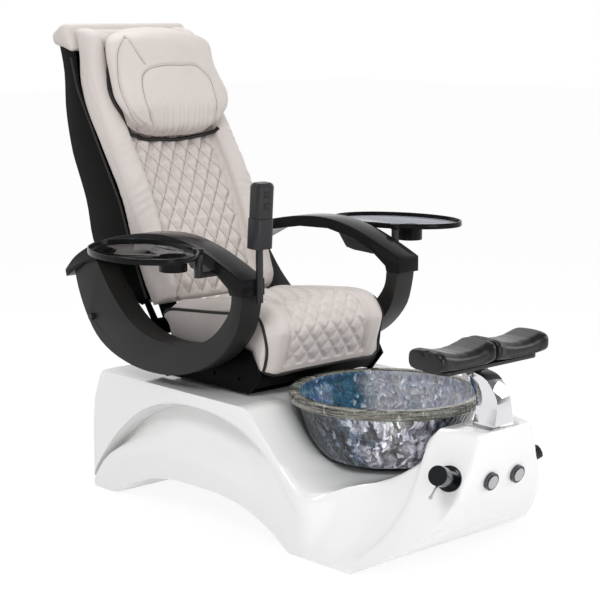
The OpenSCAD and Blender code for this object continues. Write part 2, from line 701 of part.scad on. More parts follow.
// gearbox whose driven nut walks along the fixed screw
module slide_drive() {
    color("goldenrod") difference() {
        translate([-18, 120, deck_top + 2]) cube([36, 40, pan_low - channel_t - deck_top - 2]);
        translate([0, 161, screw_z]) rotate([90, 0, 0]) cylinder(d = screw_d + 2 * run_gap, h = 42,
            $fn = curve_n);
    }
}

// steel cheek: low shroud at the front, rising to the hinge and the arm's pivot
cheek = [[carriage_front + 40, deck_top + 4], [carriage_rear, deck_top + 4], [430, 460], [520, 508],
    [596, 556],
    [606, 590], [592, 618], [560, 630], [500, 618], [440, 600], [396, 585], [372, 583], [350, 574],
        [300, 556], [240, 546],
    [140, 545], [40, 556], [-80, 567], [-119, 558], [-146, 510], [carriage_front - 12, pan_low]];
module cheek_plate(x0, x1) {
    difference() {
        along_x(x0, x1) polygon(cheek);
        translate([0, hinge_y, hinge_z]) rod_x(back_pin_d / 2 + run_gap, x0 - 1, x1 + 1);
        translate([0, arm_pivot[0], arm_pivot[1]]) rod_x(arm_bolt_d / 2 + run_gap, x0 - 1, x1 + 1);
    }
}
module side_plate_left() {
    color([0.09, 0.09, 0.1]) cheek_plate(plate_in, plate_out);
}
module side_plate_right() {
    color([0.09, 0.09, 0.1]) cheek_plate(-plate_out, -plate_in);
}

bolt_spots = [[-60, 462], [60, 462], [200, 462], [300, 462]];
module plate_bolts() {
    color("silver") for (side = [-1, 1], p = bolt_spots) translate([side * plate_out, p[0], p[1]])
        rotate([0, side * 90, 0]) cylinder(d = 14, h = 5, $fn = 6);
}

module seat_pan() {
    color([0.15, 0.14, 0.13]) translate([-plate_in + 1, carriage_front + 6, pan_low])
        cube([2 * plate_in - 2, carriage_rear - carriage_front - 6, pan_t]);
}

// seat cushion: closed side profiles strung across the seat, quilted between the bolsters
cushion_foot = pan_h + seat_gap;
nose_y = -seat_nose;
seat_rear_y = 322;
lip_y = carriage_front - 1;            // the nose hangs in front of the pan down to the lip
lip_z = pan_low - 9;
seat_top = concat(curve([[seat_rear_y, cushion_foot + 14], [seat_rear_y + 11, hinge_z + 6],
    [hinge_y - 20, hinge_z + 33], [hinge_y - 5, hinge_z + 45], [hinge_y - 24, hinge_z + 64],
    [seat_rear_y - 26, seat_top_h - 42], [200, seat_top_h - 30], [60, seat_top_h - 14], [-90, seat_top_h - 2],
    [-158, seat_top_h - 18], [nose_y, seat_top_h - 74], [nose_y + 4, 590], [nose_y + 21, 530]], 3),
    [[nose_y + 31, lip_z + 12], [nose_y + 37, lip_z], [lip_y, lip_z], [lip_y, cushion_foot]]);
seat_middle = [110, 560];
seat_cols = 24;
function seat_inset(u) = 30 * pow(abs(u), 9);
function seat_quilted(u) = abs(u) < 0.64 ? 1 : 0;
function seat_bolster(u) = 9 * exp(-pow((abs(u) - 0.82) / 0.11, 2)) - 4
    * exp(-pow((abs(u) - 0.67) / 0.02, 2));
function seat_point(p, u, i, j) = let (
        d = [p[0] - seat_middle[0], p[1] - seat_middle[1]], n = d / norm(d),
        puff = ((i + j) % 2 == 0 ? quilt_lift : 0) * seat_quilted(u) * (i > 16 && i < 37 ? 1 : 0),
        q = [p[0], p[1]] + n * (puff + seat_bolster(u) * (i > 14 ? 1 : 0) - seat_inset(u)))
    [u * seat_half, p[1] < cushion_foot + 1 ? min(q[0], mix(lip_y, p[0], 0.35)) : q[0],
        max(min(p[1], cushion_foot), q[1])];
module seat_cushion() {
    color([0.82, 0.79, 0.77]) loft([for (j = [0:seat_cols]) let (u = 2 * j / seat_cols - 1)
        flip([for (i = [0:len(seat_top) - 1]) seat_point(seat_top[i], u, i, j)])]);
}

pin_in = 26;
lug_t = 8;
module back_pins() {
    color("silver") for (side = [-1, 1]) translate([side * (plate_out + 3), hinge_y, hinge_z]) union() {
        rotate([0, -side * 90, 0]) cylinder(d = back_pin_d, h = plate_t + pin_in + 3, $fn = curve_n);
        rotate([0, -side * 90, 0]) cylinder(d = back_pin_d + 10, h = 3, $fn = curve_n);
    }
}

arm_out = arm_inset + arm_w;
module arm_bolts() {
    color([0.14, 0.14, 0.15]) for (side = [-1, 1]) translate([0, arm_pivot[0], arm_pivot[1]])
        mirror([side < 0 ? 1 : 0, 0, 0]) union() {
        rod_x(arm_bolt_d / 2, plate_in - 2, arm_out + 10);
        rod_x(arm_bolt_d / 2 + 5, plate_in - 2, plate_in);
        rod_x(arm_bolt_d / 2 + 6, plate_out, arm_inset - seat_gap);
        rod_x(arm_bolt_d / 2 + 5, arm_out + seat_gap, arm_out + 12);
    }
}
stop_y = 230;
module arm_stops() {
    color("dimgray") for (side = [-1, 1]) translate([0, stop_y, arm_low - 8 - seat_gap])
        mirror([side < 0 ? 1 : 0, 0, 0])
        rod_x(8, plate_out, arm_inset + 34);
}

// ---- arms ------------------------------------------------------------------
// outline of the open crescent in [y, z], heights counted from its lowest edge
crescent_outer = [[655, 284], [636, 225], [598, 153], [539, 82], [455, 35], [342, 7], [231, 0], [135, 8],
    [43, 30], [-52, 74], [-121, 122], [-178, 190], [-200, 260], [-207, 303]];
crescent_inner = [[-158, 303], [-152, 262], [-129, 224], [-87, 180], [-41, 148], [15, 125], [85, 111],
    [150, 107],
    [228, 112], [301, 130], [374, 168], [448, 232], [505, 300], [530, 334]];
function raise(points, shift = 0) = [for (p = points) [p[0] + shift, p[1] + arm_low]];
block_low = arm_low + 303;
module crescent() {
    polygon(concat(curve(raise(crescent_outer, arm_shift), 3), curve(raise(crescent_inner, arm_shift), 3),
        raise([[600, 320]])));
}
module arm_shell() {
    difference() {
        along_x(arm_inset, arm_out) crescent();
        translate([0, arm_pivot[0], arm_pivot[1]]) rod_x(arm_bolt_d / 2 + run_gap, arm_inset - 1,
            arm_out + 1);
    }
}
module arm_shell_left() {
    color([0.23, 0.225, 0.22]) arm_shell();
}
module arm_shell_right() {
    color([0.23, 0.225, 0.22]) mirror([1, 0, 0]) arm_shell();
}

// pad: an arched bar from the rear of the crescent to the front block
pad_out = arm_out + pad_over;
pad_top = [[706, 286], [644, 340], [544, 389], [424, 425], [274, 451], [130, 456], [0, 433], [-110, 396],
    [-210, 303 + block_h]];
module pad_edge() {
    polygon(concat(curve(raise(pad_top), 4), raise([[-210, 303], [-150, 303], [-144, 322], [-84, 362],
        [0, 397], [130, 456 - pad_t], [270, 451 - pad_t], [424, 425 - pad_t], [538, 334], [600, 320],
            [663, 284], [700, 262]])));
}
module arm_pad_body() {
    along_x(arm_inset - 2, pad_out) difference() {
        pad_edge();
        crescent();
    }
}
module arm_pad_left() {
    color([0.05, 0.05, 0.055]) arm_pad_body();
}
module arm_pad_right() {
    color([0.05, 0.05, 0.055]) mirror([1, 0, 0]) arm_pad_body();
}

// ---- trays -----------------------------------------------------------------
tray_pivot = [pad_out + 43, -60];
tray_low = tray_h - tray_t;
bracket_low = 800;
bracket_in = arm_inset + 21;
bracket_out = bracket_in + 48;
// wedge bolted under the pad, with an arm that carries the tray's pin outside it
module tray_post() {
    color([0.07, 0.07, 0.075]) union() {
        along_x(bracket_in, bracket_out) polygon([[104, bracket_low + 63.3], [60, bracket_low + 11],
            [23, bracket_low + 4], [-70, bracket_low],
            [-70, bracket_low + 15.5], [-2, bracket_low + 44], [60, bracket_low + 55.4]]);
        translate([bracket_in, tray_pivot[1] - 10, bracket_low]) cube([tray_pivot[0] - bracket_in, 20, 14]);
        translate([tray_pivot[0], tray_pivot[1], bracket_low]) cylinder(d = tray_post_d + 8,
            h = tray_low - bracket_low - seat_gap, $fn = curve_n);
        translate([tray_pivot[0], tray_pivot[1], bracket_low]) cylinder(d = tray_post_d, h = tray_low
            - bracket_low + tray_t - 7, $fn = curve_n);
    }
}
module tray_post_left() {
    tray_post();
}
module tray_post_right() {
    mirror([1, 0, 0]) tray_post();
}

// oval dish that leans in towards the chair at its rear
tray_reach = norm([tray_l / 2 * sin(tray_lean), tray_w / 2 * cos(tray_lean)]);
tray_mid = [pad_out + 5 + tray_reach, 52];
function tray_edge(inset) = [for (k = [0:47]) let (a = k * 7.5, p = (tray_w / 2 - inset) * cos(a),
    q = (tray_l / 2 - inset) * sin(a))
    [tray_mid[0] + p * cos(tray_lean) - q * sin(tray_lean), tray_mid[1] + p * sin(tray_lean) + q
        * cos(tray_lean)]];
cup_pos = [tray_pivot[0] + 86, tray_pivot[1] + 14];
tray_floor = 5;
hub_d = tray_post_d + 16;
module tray() {
    color([0.04, 0.04, 0.045]) difference() {
        union() {
            translate([0, 0, tray_low]) linear_extrude(tray_t) polygon(tray_edge(0));
            translate([cup_pos[0], cup_pos[1], tray_h - cup_depth]) cylinder(d = cup_d, h = cup_depth
                - 6, $fn = curve_n);
            translate([tray_pivot[0], tray_pivot[1], tray_low]) cylinder(d = hub_d, h = tray_t,
                $fn = curve_n);
        }
        translate([0, 0, tray_low + tray_floor]) linear_extrude(tray_t) difference() {
            polygon(tray_edge(7));
            translate(tray_pivot) circle(d = hub_d, $fn = curve_n);
        }
        translate([cup_pos[0], cup_pos[1], tray_h - cup_depth + 4])
            cylinder(d = cup_d - 8, h = cup_depth, $fn = curve_n);
        translate([tray_pivot[0], tray_pivot[1], tray_low - 1]) cylinder(d = tray_post_d + 2 * run_gap,
            h = tray_t - 5, $fn = curve_n);
    }
}
module tray_left() {
    tray();
}
module tray_right() {
    mirror([1, 0, 0]) tray();
}

// ---- remote ----------------------------------------------------------------
remote_x = -(arm_inset + 26);
remote_y = -217;
remote_tilt = 4;
remote_post_t = 13;
function foot_z(y) = cradle_foot_h + (y - remote_y) * tan(remote_tilt);
module remote_post() {
    color([0.1, 0.1, 0.11]) along_x(remote_x - 11, remote_x + 11)
        polygon([[-210, block_low - 22], [-210, foot_z(-210)],
            [-210 - remote_post_t, foot_z(-210 - remote_post_t)],
            [-210 - remote_post_t, block_low - 22]]);
}
module at_remote() {
    translate([remote_x, remote_y, cradle_foot_h]) rotate([remote_tilt, 0, 0]) children();
}
cradle_wall = 3;
module cradle_ring(extra, h) {
    rounded_plate(remote_w + 2 * extra, remote_t + 2 * extra, h, 14 + extra);
}
module remote_cradle() {
    color([0.08, 0.08, 0.085]) at_remote() difference() {
        cradle_ring(cradle_wall + 0.5, cradle_h);
        translate([0, 0, cradle_wall]) cradle_ring(0.5, cradle_h);
    }
}
module remote_handset() {
    color([0.1, 0.1, 0.11]) at_remote() difference() {
        union() {
            translate([0, 0, cradle_wall + seat_gap]) cradle_ring(0, cradle_h - cradle_wall);
            translate([0, 0, cradle_h + seat_gap]) cradle_ring(1, remote_l - 20);
            translate([0, 0, cradle_h + remote_l - 20]) cradle_ring(-2, 6);
            translate([0, 0, cradle_h + remote_l - 14]) cradle_ring(-7, 3);
        }
        for (k = [0, 1]) translate([-11, -remote_t / 2 - 8, cradle_h + 30 + 34 * k]) cube([22, 10, 18]);
    }
}
module remote_key(k) {
    at_remote() translate([-10.7, -remote_t / 2 - 2.2, cradle_h + 30.3 + 34 * k]) cube([21.4, 3, 17.4]);
}
module remote_key_up() {
    color("silver") remote_key(1);
}
module remote_key_down() {
    color("silver") remote_key(0);
}

// ---- backrest --------------------------------------------------------------
module in_back() {
    translate([0, hinge_y, hinge_z]) rotate([-back_angle, 0, 0]) children();
}
back_half = back_w / 2;
back_low = 63;
shell_low = 90;
// joint line of shell and cushion, and the shell's rear line, as [height, y] in the leaning frame
face = [[back_low, -5], [132, -3], [306, -19], [445, -35], [637, -24], [868, -14], [1001, -44],
    [back_len, -49]];
rear_line = [[shell_low, 33], [150, 90], [277, back_depth - 41], [389, back_depth - 25],
    [522, back_depth - 59],
    [708, back_depth - 73], [848, back_depth - 103], [970, back_depth - 154], [back_len, back_depth - 175]];
back_rows = 30;
function row_z(i, low, high) = mix(low, high, i / back_rows);
module shell_outline(t, low, high) {
    front_line = [for (i = [0:back_rows]) let (z = row_z(i, low, high)) [along(z, face)
        - (t > 0 ? 9 : 0), z]];
    back_line = [for (i = [0:back_rows]) let (z = row_z(i, low, high)) [along(z, rear_line) - t, z]];
    polygon(concat(front_line, flip(back_line)));
}
module shell_front_view(t) {
    low = back_half - t;
    high = back_half - 20 - t;
    r = 14;
    polygon(concat([[low, 0], [low, 700]], [for (a = [0:15:90]) [high - r + r * cos(a), back_len - t - r
        + r * sin(a)]],
        [for (a = [90:15:180]) [-high + r + r * cos(a), back_len - t - r + r * sin(a)]],
            [[-low, 700], [-low, 0]]));
}
module back_shell() {
    color([0.07, 0.07, 0.075]) in_back() difference() {
        intersection() {
            along_x(-back_half, back_half) shell_outline(0, shell_low, back_len);
            translate([0, 400, 0]) rotate([90, 0, 0]) linear_extrude(600) shell_front_view(0);
        }
        intersection() {
            along_x(-back_half + shell_t, back_half - shell_t) shell_outline(shell_t, shell_low - 9,
                back_len - shell_t);
            translate([0, 400, 0]) rotate([90, 0, 0]) linear_extrude(600) shell_front_view(shell_t);
        }
    }
}

// steel frame: hinge lugs, two uprights and cross bars that hold the shell
frame_half = 218;
bar = 22;
frame_y = 4;
lug_out = back_half - shell_t - 0.3;
foot_bar = 96;
rod_low = 190;
rod_high = 820;
module back_frame() {
    color("gray") in_back() difference() {
        union() {
            for (side = [-1, 1]) {
                translate([side * frame_half - bar / 2, frame_y, foot_bar])
                    cube([bar, bar, back_len - foot_bar - 140]);
                translate([side > 0 ? lug_out - lug_t : -lug_out, 0, 0]) rotate([90, 0, 90])
                    linear_extrude(lug_t) {
                    circle(r = 15, $fn = curve_n);
                    polygon([[-14, 0], [15, 0], [frame_y + bar, foot_bar + bar], [frame_y, foot_bar + bar]]);
                }
            }
            translate([-lug_out, frame_y, foot_bar]) cube([2 * lug_out, bar, bar]);
            for (z = [rod_low, rod_high - bar]) translate([-frame_half, frame_y, z])
                cube([2 * frame_half, bar, bar]);
            translate([-frame_half, frame_y, back_len - 162]) cube([2 * frame_half, bar, bar]);
        }
        rod_x(back_pin_d / 2 + run_gap, -plate_out, plate_out);
    }
}

// geared motor on the right hinge pin, hung from the frame's lowest bar
drive_d = 56;
module recline_drive() {
    color("gray") in_back() difference() {
        union() {
            rod_x(drive_d / 2, -lug_out + lug_t, -110);
            translate([-200, frame_y, 0]) cube([60, bar, foot_bar]);
        }
        rod_x(back_pin_d / 2 + run_gap, -lug_out + lug_t - 1, -plate_out + plate_t + pin_in + 1);
    }
}

// back cushion: level sections strung up the back, with a bolster at each side
back_cols = 24;
front_half = 226;
cushion_top = back_len - 22;
function roll(v) = 50 * pow(clamp((v - 0.9) / 0.1), 2.4) + 26 * pow(clamp((0.05 - v) / 0.05), 2);
quilt_share = 0.76;  // of the front's half width, where the quilting ends
function bolster(u) = bolster_t * exp(-pow((abs(u) - 0.97) / 0.15, 2))
    - 6 * exp(-pow((abs(u) - quilt_share) / 0.03, 2));
function diamond(u, v, i, j) = (abs(u) < quilt_share - 0.04 && v < 0.58 && v > 0.04)
    ? ((i + j) % 2 == 0 ? quilt_lift : 0) : 0;
function back_section(i) = let (v = i / back_rows, z = row_z(i, back_low + 3, cushion_top),
        base = along(z, face) - soft_gap, r = roll(v), front = base - back_pad_t + r,
            wide = mix(0, 22, ramp(z, 110, 260)) * mix(1, 0.4, ramp(v, 0.7, 1)) - 0.2 * r,
        w = mix(back_half - 4, back_half - 24, ramp(z, 700, back_len)), k = w / back_half,
        flank = [[mix(front_half * k, w + 0.8 * wide, 0.62), front - 0.66 * bolster_t * (1 - r / 76)],
            [w + 0.8 * wide, front - 4], [w + wide, mix(front, base, 0.4)],
                [w + 0.6 * wide, mix(front, base, 0.8)], [w, base]])
    concat([for (j = [0:back_cols]) let (u = 2 * j / back_cols - 1)
            [u * front_half * k, front - bolster(u) * (1 - r / 76) - diamond(u, v, i, j), z]],
        [for (p = flank) [p[0], p[1], z]], [for (p = flip(flank)) [-p[0], p[1], z]]);
module back_cushion() {
    color([0.82, 0.79, 0.77]) in_back() loft([for (i = [0:back_rows]) back_section(i)]);
}

// head pillow: puffed pad on the bolsters, drawn in at its rim
pillow_low = 630;
pillow_rows = 22;
pillow_cols = 22;
pillow_gap = 4.8;      // from the bolsters' true curve; their facets take up most of it
pillow_seat = [0.97, 0.9, 0.83, 0.76, 0.69, 0.61, 0.5, 0, -0.5, -0.61, -0.69, -0.76, -0.83, -0.9, -0.97];
pillow_back = -back_pad_t - bolster_t - 14;
// front of the cushion under the pillow at a place across and up the back
function cushion_front(x, z) = let (v = (z - back_low - 3) / (cushion_top - back_low - 3), r = roll(v),
        k = mix(back_half - 4, back_half - 24, ramp(z, 700, back_len)) / back_half)
    along(z, face) - soft_gap - back_pad_t + r - bolster(x / front_half / k) * (1 - r / 76)
        - (v < 0.6 ? quilt_lift : 0);
function pillow_half(v) = pillow_w / 2 * pow(clamp(1 - pow(abs(2 * v - 1), 3.2)), 0.36)
    * (0.96 + 0.04 * sin(360 * v));
module head_pillow() {
    rows = [for (i = [0:pillow_rows]) 0.006 + 0.494 * (1 - cos(i * 180 / pillow_rows))];
    color([0.82, 0.79, 0.77]) in_back() loft([for (v = rows) let (w = pillow_half(v), z = pillow_low + v
        * pillow_h,
            t = pillow_t * (0.2 + 0.8 * pow(clamp(1 - pow(abs(2 * v - 1), 3.4)), 0.6)),
            lie = min(pillow_back, min([for (u = [0.8:0.04:1]) cushion_front(u * w, z)]) - pillow_gap))
        concat([for (j = [0:pillow_cols]) let (a = 180 - 180 * j / pillow_cols, u = cos(a))
                [u * w, lie - t * (0.12 + 0.88 * pow(sin(a), 0.7)), z]],
            [for (u = pillow_seat) [u * w, min(cushion_front(u * w, z) - pillow_gap, lie + 34), z]])]);
}

// massage drive behind the cushion: guide rods, screw, carriage and kneading discs
slider_t = 34;
knead_y = frame_y + 22;
drive_y = knead_y + knead_d / 2 + 3 + slider_t / 2;
module end_blocks() {
    for (z = [rod_low, rod_high - bar]) translate([-12, frame_y + bar - drive_y, z - rod_low])
        cube([24, drive_y - frame_y - bar + 12, bar]);
}
module massage_rods() {
    color("silver") in_back() for (side = [-1, 1]) translate([side * guide_pitch / 2, drive_y, rod_low])
        union() {
        cylinder(d = guide_d, h = rod_high - rod_low, $fn = curve_n);
        end_blocks();
    }
}
massage_screw_d = 14;
module massage_screw() {
    color("gray") in_back() translate([0, drive_y, rod_low]) union() {
        cylinder(d = massage_screw_d, h = rod_high - rod_low, $fn = curve_n);
        end_blocks();
    }
}
slider_low = 220;
slider_h = 90;
knead_z = slider_low + slider_h / 2;
knead_shaft_d = 14;
ear_x = guide_pitch / 2 - 22;
module massage_carriage() {
    color([0.2, 0.2, 0.22]) in_back() difference() {
        union() {
            for (z = [slider_low, slider_low + slider_h - 26])
                translate([-guide_pitch / 2 - 20, drive_y - slider_t / 2, z])
                cube([guide_pitch + 40, slider_t, 26]);
            for (side = [-1, 1]) translate([side * ear_x - 6, knead_y - 14, slider_low])
                cube([12, drive_y + slider_t / 2 - knead_y + 14, slider_h]);
        }
        for (side = [-1, 1]) translate([side * guide_pitch / 2, drive_y, slider_low - 1])
            cylinder(d = guide_d + 2 * run_gap, h = slider_h + 2, $fn = curve_n);
        translate([0, drive_y, slider_low - 1]) cylinder(d = massage_screw_d + 2 * run_gap, h = slider_h
            + 2, $fn = curve_n);
        translate([0, knead_y, knead_z]) rod_x(knead_shaft_d / 2 + run_gap, -guide_pitch / 2,
            guide_pitch / 2);
    }
}
knead_x = 62;
module massage_heads() {
    color("dimgray") in_back() translate([0, knead_y, knead_z]) union() {
        rod_x(knead_shaft_d / 2, -ear_x - 5, ear_x + 5);
        for (side = [-1, 1]) translate([side * knead_x, 0, 0]) rotate([0, 90, 0])
            rotate_extrude($fn = curve_n)
            polygon([[0, -14], [knead_d / 2 - 10, -14], [knead_d / 2 - 2, -9], [knead_d / 2, 0],
                [knead_d / 2 - 2, 9],
                [knead_d / 2 - 10, 14], [0, 14]]);
    }
}

base_shell();
base_glides();
deck_plate();
slide_rails();
slide_screw();
bowl();
bowl_gasket();
drain_flange();
drain_strainer();
jet_cover();
jet_impeller();
tower_plate();
footrest_bracket();
footrest_pin();
footrest_carrier();
footrest_pad_left();
footrest_pad_right();
mixer_flange();
mixer_stem();
mixer_cap();
mixer_lever();
button_bezels();
jet_button();
drain_button();
drain_collar();
drain_knob();
seat_carriage();
slide_shoes();
slide_drive();
side_plate_left();
side_plate_right();
plate_bolts();
seat_pan();
seat_cushion();
recline_drive();
back_pins();
arm_bolts();
arm_stops();
arm_shell_left();
arm_shell_right();
arm_pad_left();
arm_pad_right();
tray_post_left();
tray_post_right();
tray_left();
tray_right();
remote_post();
remote_cradle();
remote_handset();
remote_key_up();
remote_key_down();
back_shell();
back_frame();
back_cushion();
head_pillow();
massage_rods();
massage_screw();
massage_carriage();
massage_heads();
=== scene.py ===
import json
import math

import bmesh
import bpy
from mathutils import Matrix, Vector
from mathutils.bvhtree import BVHTree


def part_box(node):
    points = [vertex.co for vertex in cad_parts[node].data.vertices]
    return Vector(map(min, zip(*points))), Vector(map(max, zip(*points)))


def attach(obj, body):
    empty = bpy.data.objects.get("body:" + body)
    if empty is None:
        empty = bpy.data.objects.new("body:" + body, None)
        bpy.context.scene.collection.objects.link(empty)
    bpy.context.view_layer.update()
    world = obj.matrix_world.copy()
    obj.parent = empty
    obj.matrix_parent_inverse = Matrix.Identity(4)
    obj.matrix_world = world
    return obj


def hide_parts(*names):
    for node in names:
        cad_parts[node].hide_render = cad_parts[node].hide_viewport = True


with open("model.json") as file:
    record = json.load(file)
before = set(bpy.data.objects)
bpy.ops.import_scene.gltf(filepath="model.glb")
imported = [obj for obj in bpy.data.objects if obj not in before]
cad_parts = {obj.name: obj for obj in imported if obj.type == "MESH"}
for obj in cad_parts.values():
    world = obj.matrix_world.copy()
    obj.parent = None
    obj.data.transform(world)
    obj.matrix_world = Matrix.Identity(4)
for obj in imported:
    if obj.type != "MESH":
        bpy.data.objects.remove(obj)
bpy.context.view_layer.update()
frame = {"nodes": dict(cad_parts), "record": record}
nodes = frame["nodes"]
nodeBody = {n: b for b, names in frame["record"]["behaviour"]["bodies"].items() for n in names}
scene = bpy.context.scene
scene.view_settings.view_transform = "Standard"

# camera first
viewSettings = {"place": (-3.570, -3.892, 1.604), "aim": (0.0, -0.050, 0.679), "lens": 99.0}


def setCamera(spec):
    data = bpy.data.cameras.new("viewCamera")
    data.sensor_width = 36.0
    data.lens = spec["lens"]
    data.clip_end = 60
    cam = bpy.data.objects.new("viewCamera", data)
    scene.collection.objects.link(cam)
    cam.location = spec["place"]
    cam.rotation_euler = (Vector(spec["aim"]) - Vector(spec["place"])).to_track_quat("-Z", "Y").to_euler()
    scene.camera = cam


setCamera(viewSettings)


# tools for meshes
def link(mesh, name):
    obj = bpy.data.objects.new(name, mesh)
    scene.collection.objects.link(obj)
    return obj


def bake(obj):  # modifiers become plain mesh
    bpy.context.view_layer.update()
    deps = bpy.context.evaluated_depsgraph_get()
    mesh = bpy.data.meshes.new_from_object(obj.evaluated_get(deps))
    old = obj.data
    obj.modifiers.clear()
    obj.data = mesh
    if old.users == 0:
        bpy.data.meshes.remove(old)
    return obj


def opened(mesh):
    bm = bmesh.new()
    bm.from_mesh(mesh)
    return bm


def stored(bm, mesh):
    bm.to_mesh(mesh)
    bm.free()
    return mesh


def mergedCopy(node, flat=True):
    bm = opened(nodes[node].data)
    bmesh.ops.remove_doubles(bm, verts=bm.verts, dist=2e-5)
    if flat:
        bmesh.ops.dissolve_limit(bm, angle_limit=math.radians(0.6), verts=bm.verts, edges=bm.edges)
    return stored(bm, bpy.data.meshes.new(node))


def smoothBy(mesh, degrees):
    for poly in mesh.polygons:
        poly.use_smooth = True
    mesh.set_sharp_from_angle(angle=math.radians(degrees))


edgeAngles = {"rounded": 28, "sharp": 30, "base": 24, "bowl": 35}


def softened(node, width, steps):  # same form with rounded edges
    obj = link(mergedCopy(node), node + ".soft")
    mod = obj.modifiers.new("round", "BEVEL")
    mod.width = width
    mod.segments = steps
    mod.limit_method = "ANGLE"
    mod.angle_limit = math.radians(edgeAngles["rounded"])
    mod.use_clamp_overlap = True
    bake(obj)
    smoothBy(obj.data, edgeAngles["sharp"])
    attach(obj, nodeBody[node])
    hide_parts(node)
    return obj


def paint(obj, *materials):
    obj.data.materials.clear()
    for material in materials:
        obj.data.materials.append(material)
    for poly in obj.data.polygons:
        poly.material_index = 0
    return obj


def between(points, places):  # value of a table of pairs
    for a, b in zip(points, points[1:]):
        if places <= b[0]:
            t = max(0.0, (places - a[0]) / (b[0] - a[0]))
            return a[1] + (b[1] - a[1]) * t
    return points[-1][1]


def flowing(points, steps=8):  # smooth line through points
    pts = [Vector(p) for p in points]
    out = []
    for i in range(len(pts) - 1):
        a, b, c, d = pts[max(0, i - 1)], pts[i], pts[i + 1], pts[min(len(pts) - 1, i + 2)]
        for k in range(steps):
            u = k / steps
            out.append(0.5 * (2 * b + (c - a) * u + (2 * a - 5 * b + 4 * c - d) * u * u
                + (3 * b - a - 3 * c + d) * u ** 3))
    return out + [pts[-1]]


# Geometry Nodes that follow a sewn line
def geometryTree(name, inputs):
    tree = bpy.data.node_groups.new(name, "GeometryNodeTree")
    tree.interface.new_socket("Geometry", in_out="INPUT", socket_type="NodeSocketGeometry")
    tree.interface.new_socket("Geometry", in_out="OUTPUT", socket_type="NodeSocketGeometry")
    for label, kind, value in inputs:
        socket = tree.interface.new_socket(label, in_out="INPUT", socket_type=kind)
        if value is not None:
            socket.default_value = value
    tree.nodes.new("NodeGroupInput").name = "in"
    tree.nodes.new("NodeGroupOutput").name = "out"
    return tree, tree.nodes["in"].outputs, tree.nodes["out"].inputs


def makePipingTree():
    tree, inp, out = geometryTree("sewnPiping", [("Radius", "NodeSocketFloat", 0.004),
        ("Finish", "NodeSocketMaterial", None)])
    ring = tree.nodes.new("GeometryNodeCurvePrimitiveCircle")
    ring.inputs["Resolution"].default_value = 12
    body = tree.nodes.new("GeometryNodeCurveToMesh")
    body.inputs["Fill Caps"].default_value = True
    shade = tree.nodes.new("GeometryNodeSetShadeSmooth")
    real = tree.nodes.new("GeometryNodeRealizeInstances")
    finish = tree.nodes.new("GeometryNodeSetMaterial")
    for a, b in ((inp["Radius"], ring.inputs["Radius"]), (inp["Geometry"], body.inputs["Curve"]),
            (ring.outputs[0], body.inputs["Profile Curve"]), (body.outputs[0], shade.inputs[0]),
            (shade.outputs[0], real.inputs[0]), (real.outputs[0], finish.inputs["Geometry"]),
            (inp["Finish"], finish.inputs["Material"]), (finish.outputs[0], out["Geometry"])):
        tree.links.new(a, b)
    return tree


def makeStitchTree():
    tree, inp, out = geometryTree("threadStitches", [("Pitch", "NodeSocketFloat", 0.007),
        ("Length", "NodeSocketFloat", 0.005), ("Thread", "NodeSocketFloat", 0.0006),
        ("Finish", "NodeSocketMaterial", None)])
    points = tree.nodes.new("GeometryNodeCurveToPoints")
    points.mode = "LENGTH"
    thread = tree.nodes.new("GeometryNodeMeshUVSphere")
    thread.inputs["Segments"].default_value = 6
    thread.inputs["Rings"].default_value = 5
    thread.inputs["Radius"].default_value = 1.0
    half = tree.nodes.new("ShaderNodeMath")
    half.operation = "MULTIPLY"
    half.inputs[1].default_value = 0.5
    size = tree.nodes.new("ShaderNodeCombineXYZ")
    place = tree.nodes.new("GeometryNodeInstanceOnPoints")
    shade = tree.nodes.new("GeometryNodeSetShadeSmooth")
    real = tree.nodes.new("GeometryNodeRealizeInstances")
    finish = tree.nodes.new("GeometryNodeSetMaterial")
    for a, b in ((inp["Geometry"], points.inputs["Curve"]), (inp["Pitch"], points.inputs["Length"]),
            (inp["Length"], half.inputs[0]), (inp["Thread"], size.inputs[0]), (inp["Thread"], size.inputs[1]),
            (half.outputs[0], size.inputs[2]), (points.outputs["Points"], place.inputs["Points"]),
            (points.outputs["Rotation"], place.inputs["Rotation"]), (thread.outputs[0], place.inputs["Instance"]),
            (size.outputs[0], place.inputs["Scale"]), (place.outputs[0], real.inputs[0]),
            (real.outputs[0], shade.inputs[0]), (shade.outputs[0], finish.inputs["Geometry"]),
            (inp["Finish"], finish.inputs["Material"]), (finish.outputs[0], out["Geometry"])):
        tree.links.new(a, b)
    return tree


def grown(tree, lines, values, name):  # runs a tree on one or more lines
    curve = bpy.data.curves.new(name, "CURVE")
    curve.dimensions = "3D"
    for line in lines:
        spline = curve.splines.new("POLY")
        spline.points.add(len(line) - 1)
        for k, p in enumerate(line):
            spline.points[k].co = (*p, 1.0)
    made = bpy.data.objects.new(name + ".line", curve)
    scene.collection.objects.link(made)
    mod = made.modifiers.new("grow", "NODES")
    mod.node_group = tree
    for item in tree.interface.items_tree:
        if item.in_out == "INPUT" and item.name in values:
            mod[item.identifier] = values[item.name]
    bpy.context.view_layer.update()
    deps = bpy.context.evaluated_depsgraph_get()
    mesh = bpy.data.meshes.new_from_object(made.evaluated_get(deps))
    made.modifiers.clear()
    bpy.data.objects.remove(made)
    bpy.data.curves.remove(curve)
    return link(mesh, name)


sewnPiping = makePipingTree()
threadStitches = makeStitchTree()


# shared shader effects
def newGroup(name, inputs, outputs):
    group = bpy.data.node_groups.new(name, "ShaderNodeTree")
    for label, kind, value in inputs:
        socket = group.interface.new_socket(label, in_out="INPUT", socket_type=kind)
        socket.default_value = value
    for label, kind in outputs:
        group.interface.new_socket(label, in_out="OUTPUT", socket_type=kind)
    return group, group.nodes.new("NodeGroupInput").outputs, group.nodes.new("NodeGroupOutput").inputs


